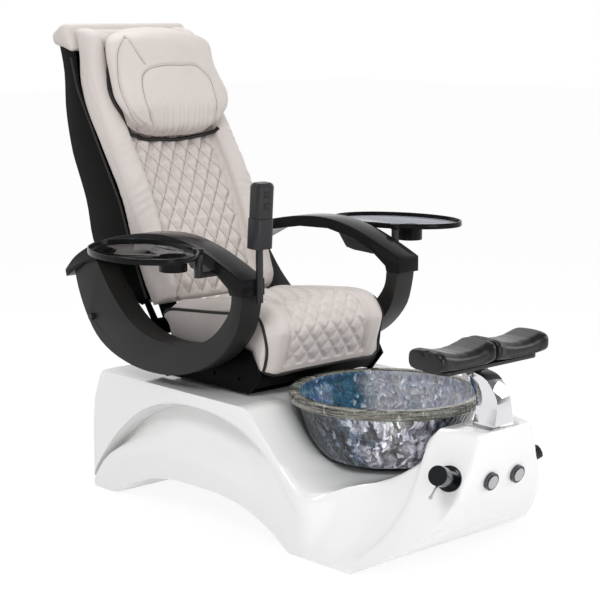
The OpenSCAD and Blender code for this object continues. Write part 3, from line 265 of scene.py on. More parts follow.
def surfaceGroup(name, grey, **floats):  # a group that gives a colour, a height and a roughness
    group, inp, out = newGroup(name, [("Colour", "NodeSocketColor", (grey, grey, grey, 1))]
        + [(label, "NodeSocketFloat", value) for label, value in floats.items()],
        [("Colour", "NodeSocketColor"), ("Height", "NodeSocketFloat"), ("Rough", "NodeSocketFloat")])
    return group, inp, out, objectPlace(group)


def objectPlace(tree):
    return tree.nodes.new("ShaderNodeTexCoord").outputs["Object"]


def wire(tree, a, b):
    tree.links.new(a, b)


def addNode(tree, kind, **values):
    node = tree.nodes.new(kind)
    for key, value in values.items():
        if hasattr(node, key):
            setattr(node, key, value)
        else:
            node.inputs[key.replace("_", " ")].default_value = value
    return node


def textured(tree, kind, vector, scale=None, **values):  # a texture on a vector, its scale from a socket if given
    node = addNode(tree, "ShaderNodeTex" + kind, **values)
    wire(tree, vector, node.inputs["Vector"])
    if scale is not None:
        wire(tree, scale, node.inputs["Scale"])
    return node


def stretched(tree, vector, scale):
    node = tree.nodes.new("ShaderNodeMapping")
    node.inputs["Scale"].default_value = scale
    wire(tree, vector, node.inputs["Vector"])
    return node.outputs[0]


def math2(tree, op, a, b, clamp=False):
    node = tree.nodes.new("ShaderNodeMath")
    node.operation = op
    node.use_clamp = clamp
    for k, v in enumerate((a, b)):
        if isinstance(v, (int, float)):
            node.inputs[k].default_value = v
        else:
            tree.links.new(v, node.inputs[k])
    return node.outputs[0]


def linear(tree, value, slope, start, clamp=False):  # value times slope plus start
    return math2(tree, "ADD", math2(tree, "MULTIPLY", value, slope), start, clamp)


def vector2(tree, op, a, b):
    node = addNode(tree, "ShaderNodeVectorMath", operation=op)
    for k, v in enumerate((a, b)):
        if isinstance(v, tuple):
            node.inputs[k].default_value = v
        else:
            wire(tree, v, node.inputs[k])
    return node.outputs["Value" if op == "DOT_PRODUCT" else 0]


def scaled(tree, colour, factor):
    node = addNode(tree, "ShaderNodeVectorMath", operation="SCALE")
    wire(tree, colour, node.inputs[0])
    wire(tree, factor, node.inputs["Scale"])
    return node.outputs[0]


def mixColour(tree, factor, a, b):
    node = tree.nodes.new("ShaderNodeMix")
    node.data_type = "RGBA"
    for socket, v in ((node.inputs[0], factor), (node.inputs[6], a), (node.inputs[7], b)):
        if isinstance(v, (int, float)):
            socket.default_value = v
        elif isinstance(v, (tuple, list)):
            socket.default_value = (*v[:3], 1.0)
        else:
            tree.links.new(v, socket)
    return node.outputs[2]


def makeLeatherGrain():
    group, inp, out, place = surfaceGroup("leatherGrain", 0.6, Pebble=420.0, Crease=22.0, Tone=0.1, Rough=0.4)
    cells = textured(group, "Voronoi", place, inp["Pebble"], feature="DISTANCE_TO_EDGE")
    pebble = math2(group, "MULTIPLY", cells.outputs["Distance"], 2.2, clamp=True)
    folds = textured(group, "Noise", place, inp["Crease"], Detail=5.0, Roughness=0.62,
        Distortion=0.6).outputs["Fac"]
    broad = textured(group, "Noise", place, Scale=3.4, Detail=3.0, Roughness=0.5).outputs["Fac"]
    wire(group, linear(group, pebble, 0.28, folds), out["Height"])
    shade = math2(group, "MULTIPLY", math2(group, "SUBTRACT", broad, 0.5), inp["Tone"])
    fine = math2(group, "MULTIPLY", math2(group, "SUBTRACT", folds, 0.5), 0.10)
    level = math2(group, "ADD", math2(group, "ADD", shade, fine), 1.0)
    wire(group, scaled(group, inp["Colour"], level), out["Colour"])
    wire(group, linear(group, folds, 0.16, inp["Rough"]), out["Rough"])
    return group


def makeFineSkin():  # moulded or painted surface: fine texture, faint mottling
    group, inp, out, place = surfaceGroup("fineSkin", 0.5, Fine=900.0, Mottle=14.0, Rough=0.4, Tone=0.06)
    fine = textured(group, "Noise", place, inp["Fine"], Detail=2.0, Roughness=0.5)
    mottle = textured(group, "Noise", place, inp["Mottle"], Detail=4.0, Roughness=0.55)
    wire(group, fine.outputs["Fac"], out["Height"])
    off = math2(group, "SUBTRACT", mottle.outputs["Fac"], 0.5)
    wire(group, scaled(group, inp["Colour"], linear(group, off, inp["Tone"], 1.0)), out["Colour"])
    wire(group, linear(group, off, 0.18, inp["Rough"], clamp=True), out["Rough"])
    return group


def makeBrushed():  # fine drawn lines along one axis
    group, inp, out, place = surfaceGroup("brushedLines", 0.6, Rough=0.3)
    drawn = stretched(group, place, (30.0, 900.0, 900.0))
    lines = textured(group, "Noise", drawn, Scale=1.0, Detail=3.0, Roughness=0.6).outputs["Fac"]
    wire(group, scaled(group, inp["Colour"], linear(group, lines, 0.24, 0.88)), out["Colour"])
    wire(group, lines, out["Height"])
    wire(group, linear(group, lines, 0.16, inp["Rough"]), out["Rough"])
    return group


def makeCrackle():  # facets of hammered glass, longer up than across, on a bowl standing at "Centre"
    group, inp, out = newGroup("hammeredGlass",
        [("Centre", "NodeSocketVector", (0.0, 0.0, 0.0)), ("Facets", "NodeSocketFloat", 70.0),
         ("Stretch", "NodeSocketFloat", 0.5)],
        [("Facet", "NodeSocketFloat"), ("Vein", "NodeSocketFloat"), ("Streak", "NodeSocketFloat"),
         ("Height", "NodeSocketFloat"), ("Round", "NodeSocketVector")])
    off = vector2(group, "SUBTRACT", objectPlace(group), inp["Centre"])
    warp = textured(group, "Noise", off, Scale=16.0, Detail=3.0)
    bent = addNode(group, "ShaderNodeVectorMath", operation="MULTIPLY_ADD")
    wire(group, warp.outputs["Color"], bent.inputs[0])
    bent.inputs[1].default_value = (0.05, 0.05, 0.07)
    wire(group, off, bent.inputs[2])
    scale = addNode(group, "ShaderNodeCombineXYZ")
    scale.inputs[0].default_value = 1.0
    scale.inputs[1].default_value = 1.0
    wire(group, inp["Stretch"], scale.inputs[2])
    long = vector2(group, "MULTIPLY", bent.outputs[0], scale.outputs[0])
    cells = textured(group, "Voronoi", long, inp["Facets"], feature="F1")
    edges = textured(group, "Voronoi", long, inp["Facets"], feature="DISTANCE_TO_EDGE")
    parts = addNode(group, "ShaderNodeSeparateColor")
    wire(group, cells.outputs["Color"], parts.inputs[0])
    wire(group, parts.outputs[0], out["Facet"])
    vein = math2(group, "SUBTRACT", 1.0, math2(group, "MULTIPLY", edges.outputs["Distance"], 9.0, clamp=True))
    wire(group, vein, out["Vein"])
    tall = stretched(group, bent.outputs[0], (34.0, 34.0, 5.0))
    streak = textured(group, "Noise", tall, Scale=1.0, Detail=6.0, Roughness=0.68).outputs["Fac"]
    wire(group, streak, out["Streak"])
    rise = linear(group, cells.outputs["Distance"], 1.3, math2(group, "MULTIPLY", parts.outputs[1], 0.5))
    wire(group, math2(group, "ADD", rise, streak), out["Height"])
    unit = addNode(group, "ShaderNodeVectorMath", operation="NORMALIZE")
    wire(group, vector2(group, "MULTIPLY", off, (1.0, 1.0, 0.0)), unit.inputs[0])
    wire(group, unit.outputs[0], out["Round"])
    return group


leatherGrain = makeLeatherGrain()
fineSkin = makeFineSkin()
brushedLines = makeBrushed()
hammeredGlass = makeCrackle()
print("shader groups ready")


# materials
def blank(name):
    material = bpy.data.materials.new(name)
    material.use_nodes = True
    tree = material.node_tree
    return material, tree, tree.nodes["Principled BSDF"]


def raised(tree, shader, height, strength, distance):
    bump = tree.nodes.new("ShaderNodeBump")
    bump.inputs["Strength"].default_value = strength
    bump.inputs["Distance"].default_value = distance
    wire(tree, height, bump.inputs["Height"])
    wire(tree, bump.outputs["Normal"], shader.inputs["Normal"])


def dressed(name, group, values, bump, distance, **constants):
    material, tree, shader = blank(name)
    effect = tree.nodes.new("ShaderNodeGroup")
    effect.node_tree = group
    for key, value in values.items():
        effect.inputs[key].default_value = (*value, 1.0) if isinstance(value, tuple) else value
    wire(tree, effect.outputs["Colour"], shader.inputs["Base Color"])
    wire(tree, effect.outputs["Rough"], shader.inputs["Roughness"])
    raised(tree, shader, effect.outputs["Height"], bump, distance)
    for key, value in constants.items():
        shader.inputs[key.replace("_", " ")].default_value = value
    return material


gelcoat = dressed("gelcoat", fineSkin, {"Colour": (0.885, 0.885, 0.88), "Fine": 60.0, "Mottle": 5.0, "Rough": 0.2,
    "Tone": 0.02}, 0.05, 0.002, Coat_Weight=0.7, Coat_Roughness=0.05)
charcoal = dressed("charcoalPlastic", fineSkin, {"Colour": (0.014, 0.0132, 0.0125), "Fine": 1100.0, "Mottle": 16.0,
    "Rough": 0.44, "Tone": 0.25}, 0.18, 0.0006, Specular_IOR_Level=0.26)
shellBlack = dressed("shellBlack", fineSkin, {"Colour": (0.006, 0.0056, 0.0052), "Fine": 1100.0, "Mottle": 9.0,
    "Rough": 0.42, "Tone": 0.3}, 0.15, 0.0006, Specular_IOR_Level=0.05)
blackGloss = dressed("glossBlack", fineSkin, {"Colour": (0.009, 0.009, 0.010), "Fine": 300.0, "Mottle": 20.0,
    "Rough": 0.16, "Tone": 0.2}, 0.05, 0.0005, Specular_IOR_Level=0.08)
softBlack = dressed("softBlack", fineSkin, {"Colour": (0.012, 0.0125, 0.0145), "Fine": 900.0, "Mottle": 22.0,
    "Rough": 0.40, "Tone": 0.25}, 0.2, 0.0005, Specular_IOR_Level=0.42)
blackSteel = dressed("blackPaintedSteel", fineSkin, {"Colour": (0.003, 0.003, 0.003), "Fine": 500.0,
    "Mottle": 18.0, "Rough": 0.34, "Tone": 0.4}, 0.12, 0.0005, Specular_IOR_Level=0.04)
blackRubber = dressed("blackRubber", fineSkin, {"Colour": (0.012, 0.012, 0.012), "Fine": 700.0, "Mottle": 30.0,
    "Rough": 0.7, "Tone": 0.3}, 0.3, 0.0006)
paleNylon = dressed("paleNylon", fineSkin, {"Colour": (0.6, 0.6, 0.57), "Fine": 500.0, "Mottle": 25.0,
    "Rough": 0.45, "Tone": 0.1}, 0.1, 0.0005)
chrome = dressed("polishedChrome", fineSkin, {"Colour": (0.76, 0.76, 0.78), "Fine": 120.0, "Mottle": 30.0,
    "Rough": 0.06, "Tone": 0.05}, 0.03, 0.0006, Metallic=1.0)
# chrome darkened as a painted reflection of a dark room around it
darkReflectionChrome = dressed("darkReflectionChromeFinish", fineSkin, {"Colour": (0.10, 0.105, 0.115), "Fine": 200.0, "Mottle": 30.0,
    "Rough": 0.15, "Tone": 0.2}, 0.03, 0.0006, Metallic=1.0)
steel = dressed("drawnSteel", brushedLines, {"Colour": (0.50, 0.50, 0.51), "Rough": 0.2}, 0.2, 0.0003,
    Metallic=1.0)
greigeLeather = dressed("greigeLeather", leatherGrain, {"Colour": (0.640, 0.585, 0.557), "Pebble": 480.0,
    "Crease": 26.0, "Tone": 0.12}, 0.35, 0.0022, Sheen_Weight=0.08, Sheen_Roughness=0.4)
greigeThread = dressed("greigeThread", fineSkin, {"Colour": (0.52, 0.47, 0.44), "Fine": 3000.0, "Mottle": 60.0,
    "Rough": 0.6, "Tone": 0.3}, 0.3, 0.0003)
# dark seam thread that also paints shade: laid in the seam grooves as dark lines, it stands in for the shade in
# the grooves
seamThreadAndShade = dressed("seamThreadAndShade", fineSkin, {"Colour": (0.26, 0.225, 0.21), "Fine": 2600.0, "Mottle": 60.0,
    "Rough": 0.7, "Tone": 0.3}, 0.3, 0.0002)
weltLeather = dressed("weltLeather", leatherGrain, {"Colour": (0.012, 0.010, 0.009), "Pebble": 700.0,
    "Crease": 60.0, "Tone": 0.5}, 0.3, 0.001, Specular_IOR_Level=0.4)
blackVinyl = dressed("blackVinyl", leatherGrain, {"Colour": (0.010, 0.010, 0.011), "Pebble": 620.0,
    "Crease": 18.0, "Tone": 0.4, "Rough": 0.20}, 0.08, 0.0010, Specular_IOR_Level=0.34)


def colourRamp(tree, factor, stops):
    ramp = tree.nodes.new("ShaderNodeValToRGB")
    marks = ramp.color_ramp.elements
    marks[0].position, marks[1].position = stops[0][0], stops[-1][0]
    marks[0].color, marks[1].color = (*stops[0][1], 1), (*stops[-1][1], 1)
    for place, colour in stops[1:-1]:
        marks.new(place).color = (*colour, 1)
    wire(tree, factor, ramp.inputs["Fac"])
    return ramp.outputs["Color"]


glassSettings = {"Centre": (0.0, -0.45, 0.33), "Facets": 78.0, "Stretch": 0.55}


def glassBase(name, metallic):
    material, tree, shader = blank(name)
    effect = tree.nodes.new("ShaderNodeGroup")
    effect.node_tree = hammeredGlass
    for key, value in glassSettings.items():
        effect.inputs[key].default_value = value
    raised(tree, shader, effect.outputs["Height"], 0.8, 0.006)
    shader.inputs["Specular IOR Level"].default_value = 0.3
    shader.inputs["Coat Weight"].default_value = 0.35
    shader.inputs["Coat Roughness"].default_value = 0.03
    shader.inputs["Metallic"].default_value = metallic
    return material, tree, shader, effect.outputs, objectPlace(tree)


def finishGlass(tree, shader, colour, chip, chipColour, rough, start):  # light chips over a colour
    wire(tree, mixColour(tree, chip, colour, chipColour), shader.inputs["Base Color"])
    wire(tree, linear(tree, rough, 0.2, start), shader.inputs["Roughness"])


def chips(tree, effect, above):  # the few facets with a high random value
    return math2(tree, "GREATER_THAN", effect["Facet"], above)


def toward(tree, effect, direction):  # how far round the bowl a point lies toward a direction
    return vector2(tree, "DOT_PRODUCT", effect["Round"], direction)


def makeOuterGlass():  # dark smoke with drifting pearl, brightest on the side by the sitter's right foot, which faces the camera and key lamp: a painted highlight, with painted glints there
    material, tree, shader, effect, place = glassBase("smokePearlGlass", 0.1)
    drift = textured(tree, "Noise", place, Scale=7.0, Detail=4.0, Roughness=0.62, Distortion=0.8).outputs["Fac"]
    # painted highlight: the side facing the camera and key lamp, which glow makes brighter
    litSide = math2(tree, "MULTIPLY", toward(tree, effect, (-0.55, -0.83, 0.0)), 1.0, clamp=True)
    glow = math2(tree, "MULTIPLY", math2(tree, "POWER", litSide, 4.0), 0.33)
    level = math2(tree, "ADD", math2(tree, "ADD", drift, glow), -0.14)
    tones = colourRamp(tree, level, ((0.26, (0.006, 0.011, 0.020)), (0.36, (0.014, 0.027, 0.044)),
        (0.43, (0.045, 0.070, 0.100)), (0.49, (0.085, 0.120, 0.160)), (0.54, (0.12, 0.15, 0.27)),
        (0.59, (0.36, 0.41, 0.47)), (0.66, (0.52, 0.50, 0.60)), (0.80, (0.82, 0.82, 0.82))))
    facet = linear(tree, math2(tree, "POWER", effect["Facet"], 2.0), 1.9, 0.28)
    streak = math2(tree, "MULTIPLY", math2(tree, "SUBTRACT", effect["Streak"], 0.40), 5.0, clamp=True)
    lit = scaled(tree, tones, math2(tree, "MULTIPLY", facet, math2(tree, "ADD", streak, 0.35)))
    # painted glints: light chips kept only on the side facing the camera
    paintedGlints = math2(tree, "MULTIPLY", chips(tree, effect, 0.94),
        math2(tree, "MULTIPLY", math2(tree, "POWER", litSide, 2.0), 0.5))
    vein = math2(tree, "POWER", effect["Vein"], 3.0)
    vein = math2(tree, "MULTIPLY", vein, math2(tree, "MULTIPLY", streak, 0.34))
    finishGlass(tree, shader, lit, math2(tree, "MAXIMUM", paintedGlints, vein), (0.80, 0.82, 0.86), drift, 0.06)
    return material


def makeInnerGlass():  # silver pearl inside, with one blue and teal side
    material, tree, shader, effect, place = glassBase("silverPearlGlass", 0.1)
    drift = textured(tree, "Noise", place, Scale=9.0, Detail=5.0, Roughness=0.65, Distortion=0.6).outputs["Fac"]
    pearl = colourRamp(tree, drift, ((0.30, (0.20, 0.24, 0.28)), (0.42, (0.38, 0.41, 0.45)),
        (0.50, (0.50, 0.49, 0.52)), (0.57, (0.40, 0.43, 0.54)), (0.64, (0.54, 0.54, 0.55)),
        (0.74, (0.68, 0.69, 0.70))))
    deep = colourRamp(tree, drift, ((0.34, (0.020, 0.060, 0.110)), (0.44, (0.030, 0.13, 0.21)),
        (0.51, (0.050, 0.090, 0.25)), (0.57, (0.11, 0.30, 0.36)), (0.64, (0.17, 0.13, 0.24)),
        (0.74, (0.36, 0.42, 0.50))))
    side = math2(tree, "ADD", toward(tree, effect, (-0.62, 0.78, 0.0)),
        math2(tree, "MULTIPLY", math2(tree, "SUBTRACT", drift, 0.5), 0.8))
    blue = math2(tree, "MULTIPLY", math2(tree, "SUBTRACT", side, 0.24), 7.0, clamp=True)
    lit = scaled(tree, mixColour(tree, blue, pearl, deep), linear(tree, effect["Facet"], 0.55, 0.72))
    chip = math2(tree, "MULTIPLY", chips(tree, effect, 0.95), 0.45)
    finishGlass(tree, shader, lit, chip, (0.85, 0.88, 0.92), drift, 0.08)
    return material


def makeRimGlass():  # beige-smoke band with streaks running round it
    material, tree, shader, effect, place = glassBase("smokeRimGlass", 0.2)
    streak = textured(tree, "Noise", stretched(tree, place, (8.0, 8.0, 170.0)), Scale=1.4, Detail=6.0,
        Roughness=0.66, Distortion=0.9).outputs["Fac"]
    tones = colourRamp(tree, streak, ((0.34, (0.012, 0.012, 0.012)), (0.43, (0.060, 0.056, 0.048)),
        (0.49, (0.18, 0.17, 0.14)), (0.55, (0.30, 0.29, 0.25)), (0.61, (0.13, 0.21, 0.18)),
        (0.72, (0.60, 0.60, 0.60))))
    chip = math2(tree, "MULTIPLY", chips(tree, effect, 0.93), 0.35)
    finishGlass(tree, shader, tones, chip, (0.75, 0.75, 0.74), streak, 0.05)
    return material


def makeClearSmoke(name, colour, rough):
    material, tree, shader = blank(name)
    effect = tree.nodes.new("ShaderNodeGroup")
    effect.node_tree = fineSkin
    effect.inputs["Colour"].default_value = (*colour, 1)
    effect.inputs["Rough"].default_value = rough
    effect.inputs["Mottle"].default_value = 9.0
    wire(tree, effect.outputs["Colour"], shader.inputs["Base Color"])
    wire(tree, effect.outputs["Rough"], shader.inputs["Roughness"])
    shader.inputs["Transmission Weight"].default_value = 1.0
    shader.inputs["IOR"].default_value = 1.14
    return material


outerGlass = makeOuterGlass()
innerGlass = makeInnerGlass()
rimGlass = makeRimGlass()
traySheet = makeClearSmoke("clearSmokeAcrylic", (0.33, 0.35, 0.39), 0.03)
print("materials ready")

# CAD nodes that stay, with their finishes
finishOf = {
    "base_glides": blackRubber, "deck_plate": blackSteel, "slide_rails": steel, "slide_screw": steel,
    "bowl_gasket": blackRubber, "drain_flange": chrome, "drain_strainer": chrome, "jet_cover": chrome,
    # painted reflection: the mixer's flange and cap, the button bezels and the drain collar take chrome darkened
    # to show a dark room, and the button faces take mid-grey steel in place of bright chrome
    "jet_impeller": paleNylon, "footrest_pin": steel, "mixer_flange": darkReflectionChrome, "mixer_stem": chrome,
    "mixer_cap": darkReflectionChrome, "mixer_lever": steel, "button_bezels": darkReflectionChrome, "jet_button": steel,
    "drain_button": steel, "drain_collar": darkReflectionChrome, "drain_knob": softBlack, "slide_shoes": paleNylon,
    "slide_drive": steel, "plate_bolts": blackSteel, "recline_drive": blackSteel, "back_pins": steel,
    "arm_bolts": softBlack, "arm_stops": blackRubber, "massage_rods": steel, "massage_screw": steel,
    "massage_heads": paleNylon,
}
for node, material in finishOf.items():
    paint(nodes[node], material)

# node: (edge radius, segments, finish)
softEdges = {
    "seat_carriage": (0.002, 2, blackSteel), "side_plate_left": (0.0015, 2, blackSteel),
    "side_plate_right": (0.0015, 2, blackSteel), "seat_pan": (0.0015, 2, blackSteel),
    "tower_plate": (0.001, 1, steel), "footrest_bracket": (0.002, 3, chrome),
    "footrest_carrier": (0.003, 3, softBlack), "arm_shell_left": (0.006, 4, charcoal),
    "arm_shell_right": (0.006, 4, charcoal), "arm_pad_left": (0.0035, 3, blackGloss),
    "arm_pad_right": (0.0035, 3, blackGloss), "tray_post_left": (0.0015, 2, softBlack),
    "tray_post_right": (0.0015, 2, softBlack), "remote_post": (0.003, 3, softBlack),
    "remote_cradle": (0.005, 4, softBlack), "remote_handset": (0.008, 5, softBlack),
    "remote_key_up": (0.0008, 2, blackRubber), "remote_key_down": (0.0008, 2, blackRubber),
    "back_shell": (0.004, 3, shellBlack), "back_frame": (0.001, 1, blackSteel),
    "massage_carriage": (0.002, 2, softBlack),
}
for node, (width, steps, material) in softEdges.items():
    paint(softened(node, width, steps), material)


# trays: glossy rim round a clear sheet, with an opaque cup
traySettings = {"edge": 0.0015, "floorBand": (0.8715, 0.8775)}


def makeTray(side):
    obj = softened("tray_" + side, traySettings["edge"], 2)
    paint(obj, blackGloss, traySheet)
    low, high = traySettings["floorBand"]
    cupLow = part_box("tray_" + side)[0].z
    for poly in obj.data.polygons:
        if abs(poly.normal.z) > 0.98 and low < poly.center.z < high and poly.area > 0.004 and cupLow < low:
            poly.material_index = 1
    print("tray", side, sum(p.material_index for p in obj.data.polygons), "clear faces")


for side in ("left", "right"):
    makeTray(side)
print("hard pieces dressed")


# base shell: smooth-shaded gelcoat skin
def makeBaseSkin():
    mesh = mergedCopy("base_shell", flat=False)
    smoothBy(mesh, edgeAngles["base"])
    obj = link(mesh, "baseSkin")
    paint(obj, gelcoat)
    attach(obj, "base")
    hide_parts("base_shell")


makeBaseSkin()


# bowl: dark pearl outside, silver pearl inside, smoky rim
bowlSettings = {"rim": 0.0295, "band": 0.004}


def makeBowlSkin():
    mesh = mergedCopy("bowl", flat=False)
    smoothBy(mesh, edgeAngles["bowl"])
    obj = link(mesh, "bowlSkin")
    paint(obj, outerGlass, innerGlass, rimGlass)
    low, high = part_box("bowl")
    centre = Vector(((low.x + high.x) / 2, (low.y + high.y) / 2, 0))
    for poly in mesh.polygons:
        out = Vector((poly.center.x, poly.center.y, 0)) - centre
        onFloor = poly.normal.z > 0.5 and poly.center.z < high.z - 0.05
        inside = onFloor or poly.normal.dot(out.normalized()) < -0.02
        inRim = poly.center.z > high.z - (bowlSettings["band"] if inside else bowlSettings["rim"])
        poly.material_index = 2 if inRim else (1 if inside else 0)
    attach(obj, "base")
    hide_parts("bowl")


makeBowlSkin()
print("base and bowl ready")


# soft pieces
def evened(obj, size):
    mod = obj.modifiers.new("even", "REMESH")
    mod.mode = "VOXEL"
    mod.voxel_size = size
    return bake(obj)


def relax(obj, rounds, isFree):  # evens out the points that are free to move
    bm = opened(obj.data)
    bm.verts.ensure_lookup_table()
    free = [isFree(v.co) for v in bm.verts]
    for _ in range(rounds):
        fresh = []
        for v, moves in zip(bm.verts, free):
            if not moves or not v.link_edges:
                fresh.append(v.co.copy())
                continue
            mean = Vector()
            for e in v.link_edges:
                mean += e.other_vert(v).co
            fresh.append(v.co.lerp(mean / len(v.link_edges), 0.5))
        for v, co in zip(bm.verts, fresh):
            v.co = co
    stored(bm, obj.data)


clothFrames = 20


def puff(obj, spec, pinOf):  # air under the cover, held at its seams
    start = [v.co.copy() for v in obj.data.vertices]
    group = obj.vertex_groups.new(name="pinned")
    for v in obj.data.vertices:
        group.add([v.index], pinOf(v.co), "REPLACE")
    cloth = obj.modifiers.new("puff", "CLOTH")
    s = cloth.settings
    s.quality = 4
    s.mass = 0.3
    s.tension_stiffness = s.compression_stiffness = spec["stiffness"]
    s.shear_stiffness = spec["stiffness"] * 0.5
    s.bending_stiffness = spec["bending"]
    s.use_pressure = True
    s.uniform_pressure_force = spec["pressure"]
    s.effector_weights.gravity = 0
    s.vertex_group_mass = "pinned"
    cloth.point_cache.frame_start = scene.frame_start = 1
    cloth.point_cache.frame_end = scene.frame_end = clothFrames
    for number in range(1, clothFrames + 1):
        scene.frame_set(number)
    bake(obj)
    scene.frame_set(1)
    cap = spec["cap"]
    moved = 0.0
    for v, old in zip(obj.data.vertices, start):
        move = v.co - old
        moved = max(moved, move.length)
        if move.length > cap:
            v.co = old + move * (cap / move.length)
    obj.vertex_groups.clear()
    print(obj.name, "swelled by up to", round(moved * 1000, 1), "mm, capped at", cap * 1000)


def refine(obj):
    mod = obj.modifiers.new("finer", "SUBSURF")
    mod.levels = mod.render_levels = 1
    return bake(obj)


def press(obj, depthOf):  # moves points in along their normals
    bm = opened(obj.data)
    bm.normal_update()
    moves = [(v, v.normal * depthOf(v.co)) for v in bm.verts]
    for v, move in moves:
        v.co -= move
    stored(bm, obj.data)
    for poly in obj.data.polygons:
        poly.use_smooth = True


def surfaceOf(obj):
    bm = opened(obj.data)
    tree = BVHTree.FromBMesh(bm)
    bm.free()
    return tree


def hugging(tree, line, lift):  # brings a line onto a surface
    out = []
    for p in line:
        near, normal = tree.find_nearest(p)[:2]
        out.append(near + normal * lift)
    return out


def laid(tree, line, way, lift):  # drops a line onto a surface along one direction
    out = []
    for p in line:
        spot = tree.ray_cast(p - way * 0.2, way, 0.6)[0]
        if spot is not None:
            out.append(spot - way * lift)
    return out


def bell(distance, width):
    return math.exp(-((distance / width) ** 2))


def groove(distance, depth, width):
    return depth * bell(distance, width)


def clamped(value, low=0.0, high=1.0):
    return max(low, min(high, value))


def toLine(x, z, line):  # distance in a plane to a chain of points
    best = 1.0
    for (ax, az), (bx, bz) in zip(line, line[1:]):
        dx, dz = bx - ax, bz - az
        t = clamped(((x - ax) * dx + (z - az) * dz) / (dx * dx + dz * dz))
        best = min(best, math.hypot(x - ax - t * dx, z - az - t * dz))
    return best


def lattice(a, b, pitchA, pitchB):  # distance to the nearest line of a diamond lattice
    p, q = a / pitchA, b / pitchB
    scale = 1 / math.hypot(1 / pitchA, 1 / pitchB)
    near = min(abs(p + q - round(p + q)), abs(p - q - round(p - q)))
    return near * scale


def makePadded(name, node, spec, free, pin, depth, material, shape=None):
    obj = evened(link(mergedCopy(node, flat=False), name), spec["voxel"])
    press(obj, lambda co: spec["shrink"])
    if shape:
        for v in obj.data.vertices:
            v.co = shape(v.co)
    relax(obj, spec["rounds"], free)
    puff(obj, spec, pin)
    refine(obj)
    press(obj, depth)
    paint(obj, material)
    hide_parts(node)
    print(name, len(obj.data.polygons), "faces")
    return trim(obj, nodeBody[node])


def trim(obj, body):
    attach(obj, body)
    return obj


lean = math.radians(29)
hinge = Vector((0, 0.372, 0.566))


def toBack(p):
    y, z = p.y - hinge.y, p.z - hinge.z
    return Vector((p.x, y * math.cos(lean) - z * math.sin(lean), y * math.sin(lean) + z * math.cos(lean)))


def fromBack(x, y, z):
    return Vector((x, hinge.y + y * math.cos(lean) + z * math.sin(lean),
        hinge.z - y * math.sin(lean) + z * math.cos(lean)))


def seamAt(x, along, spec, half, framed=True):  # distance to the nearest seam, and whether it is a quilting seam
    edge = abs(abs(x) - half)
    if abs(x) < half and framed:
        inside = lattice(x, along, spec["pitch"], spec["pitchAlong"])
        return min(edge, inside), inside < edge
    return edge, False


def quiltDepth(distance, quilted, spec):
    if distance >= spec["reach"]:
        return 0.0
    return groove(distance, spec["seam"] if quilted else spec["edgeSeam"], spec["valley"])


noSeam = (1.0, False)
backQuilt = {"half": 0.172, "low": 0.085, "high": 0.70, "pitch": 0.0573, "pitchAlong": 0.084, "seam": 0.0150,
    "edgeSeam": 0.012, "valley": 0.0096, "reach": 0.03, "held": 0.006, "pucker": 0.0014, "fold": 0.0019,
    "sideSeams": (0.083, 0.0905), "voxel": 0.0089, "shrink": 0.004, "rounds": 6, "fill": 0.8,
    "stiffness": 12, "bending": 0.3, "pressure": 6.0, "cap": 0.014}


def backSeam(q):
    s = backQuilt
    if q.y > -0.03 - 0.02 * (q.z > 0.9):
        return noSeam
    return seamAt(q.x, q.z, s, s["half"], s["low"] < q.z < s["high"])


def makeBackCushion():
    s = backQuilt

    def pin(co):
        q = toBack(co)
        return 1.0 if q.y > -0.02 else bell(backSeam(q)[0], s["held"])

    def depth(co):
        q = toBack(co)
        x = abs(q.x)
        d, quilted = backSeam(q)
        value = quiltDepth(d, quilted, s)
        if x < s["half"] and q.y < -0.05 and q.z < 0.66:  # gathers beside the seams
            wave = math.sin(q.z * 520 + 2.4 * math.sin(q.x * 90)) * math.sin(q.x * 260 + 1.7 * math.sin(q.z * 70))
            value += s["pucker"] * wave * bell(d - 0.008, 0.007)
        if x > 0.24 and 0.12 < q.z < 0.98:  # a double seam along the side
            value += groove(min(abs(q.y + seam) for seam in s["sideSeams"]), 0.0016, 0.003)
        if 0.175 < x < 0.275 and q.y < -0.05:  # soft folds across the bolster
            wave = math.sin(q.z * 150 + 3.0 * math.sin(q.z * 31) + 4 * x * 20)
            value += s["fold"] * wave * bell(q.z - 0.50, 0.22) * bell(x - 0.235, 0.035)
        return value

    return makePadded("backCushion", "back_cushion", s, lambda co: toBack(co).y < -0.045, pin, depth,
        greigeLeather)


backCushion = makeBackCushion()
backSurface = surfaceOf(backCushion)

seatQuilt = {"half": 0.172, "pitch": 0.0573, "pitchAlong": 0.080, "seam": 0.0064, "edgeSeam": 0.008,
    "valley": 0.0078, "reach": 0.03, "held": 0.006, "voxel": 0.0078, "shrink": 0.004, "rounds": 6, "fill": 0.85,
    "stiffness": 12, "bending": 0.3, "pressure": 5.0, "cap": 0.010}
seatHalves = ((-0.20, 0.166), (-0.141, 0.160), (-0.057, 0.142), (0.05, 0.150), (0.16, 0.168), (0.4, 0.172))


def alongSeat(p):  # arc measure over the seat's top and nose
    if p.y > -0.10 and p.z > 0.62:
        return 0.16 + (p.y + 0.10)
    angle = math.atan2(p.z - 0.600, -(p.y + 0.08))
    return 0.14 * (angle - math.pi / 2) + 0.02


def seatHalf(p):  # the quilting is narrower over the top of the nose
    return seatQuilt["half"] - 0.006 if p.z < 0.62 else between(seatHalves, p.y)


def seatSeam(p):
    if p.z < 0.505 or p.y > 0.31:
        return noSeam
    return seamAt(p.x, alongSeat(p), seatQuilt, seatHalf(p))


def makeSeatCushion():
    def pin(co):
        if co.z < 0.500 or abs(co.x) > 0.254 or co.y > 0.30:
            return 1.0
        return bell(seatSeam(co)[0], seatQuilt["held"])

    return makePadded("seatCushion", "seat_cushion", seatQuilt, lambda co: co.z > 0.52 and abs(co.x) < 0.20, pin,
        lambda co: quiltDepth(*seatSeam(co), seatQuilt), greigeLeather)


seatCushion = makeSeatCushion()
seatSurface = surfaceOf(seatCushion)

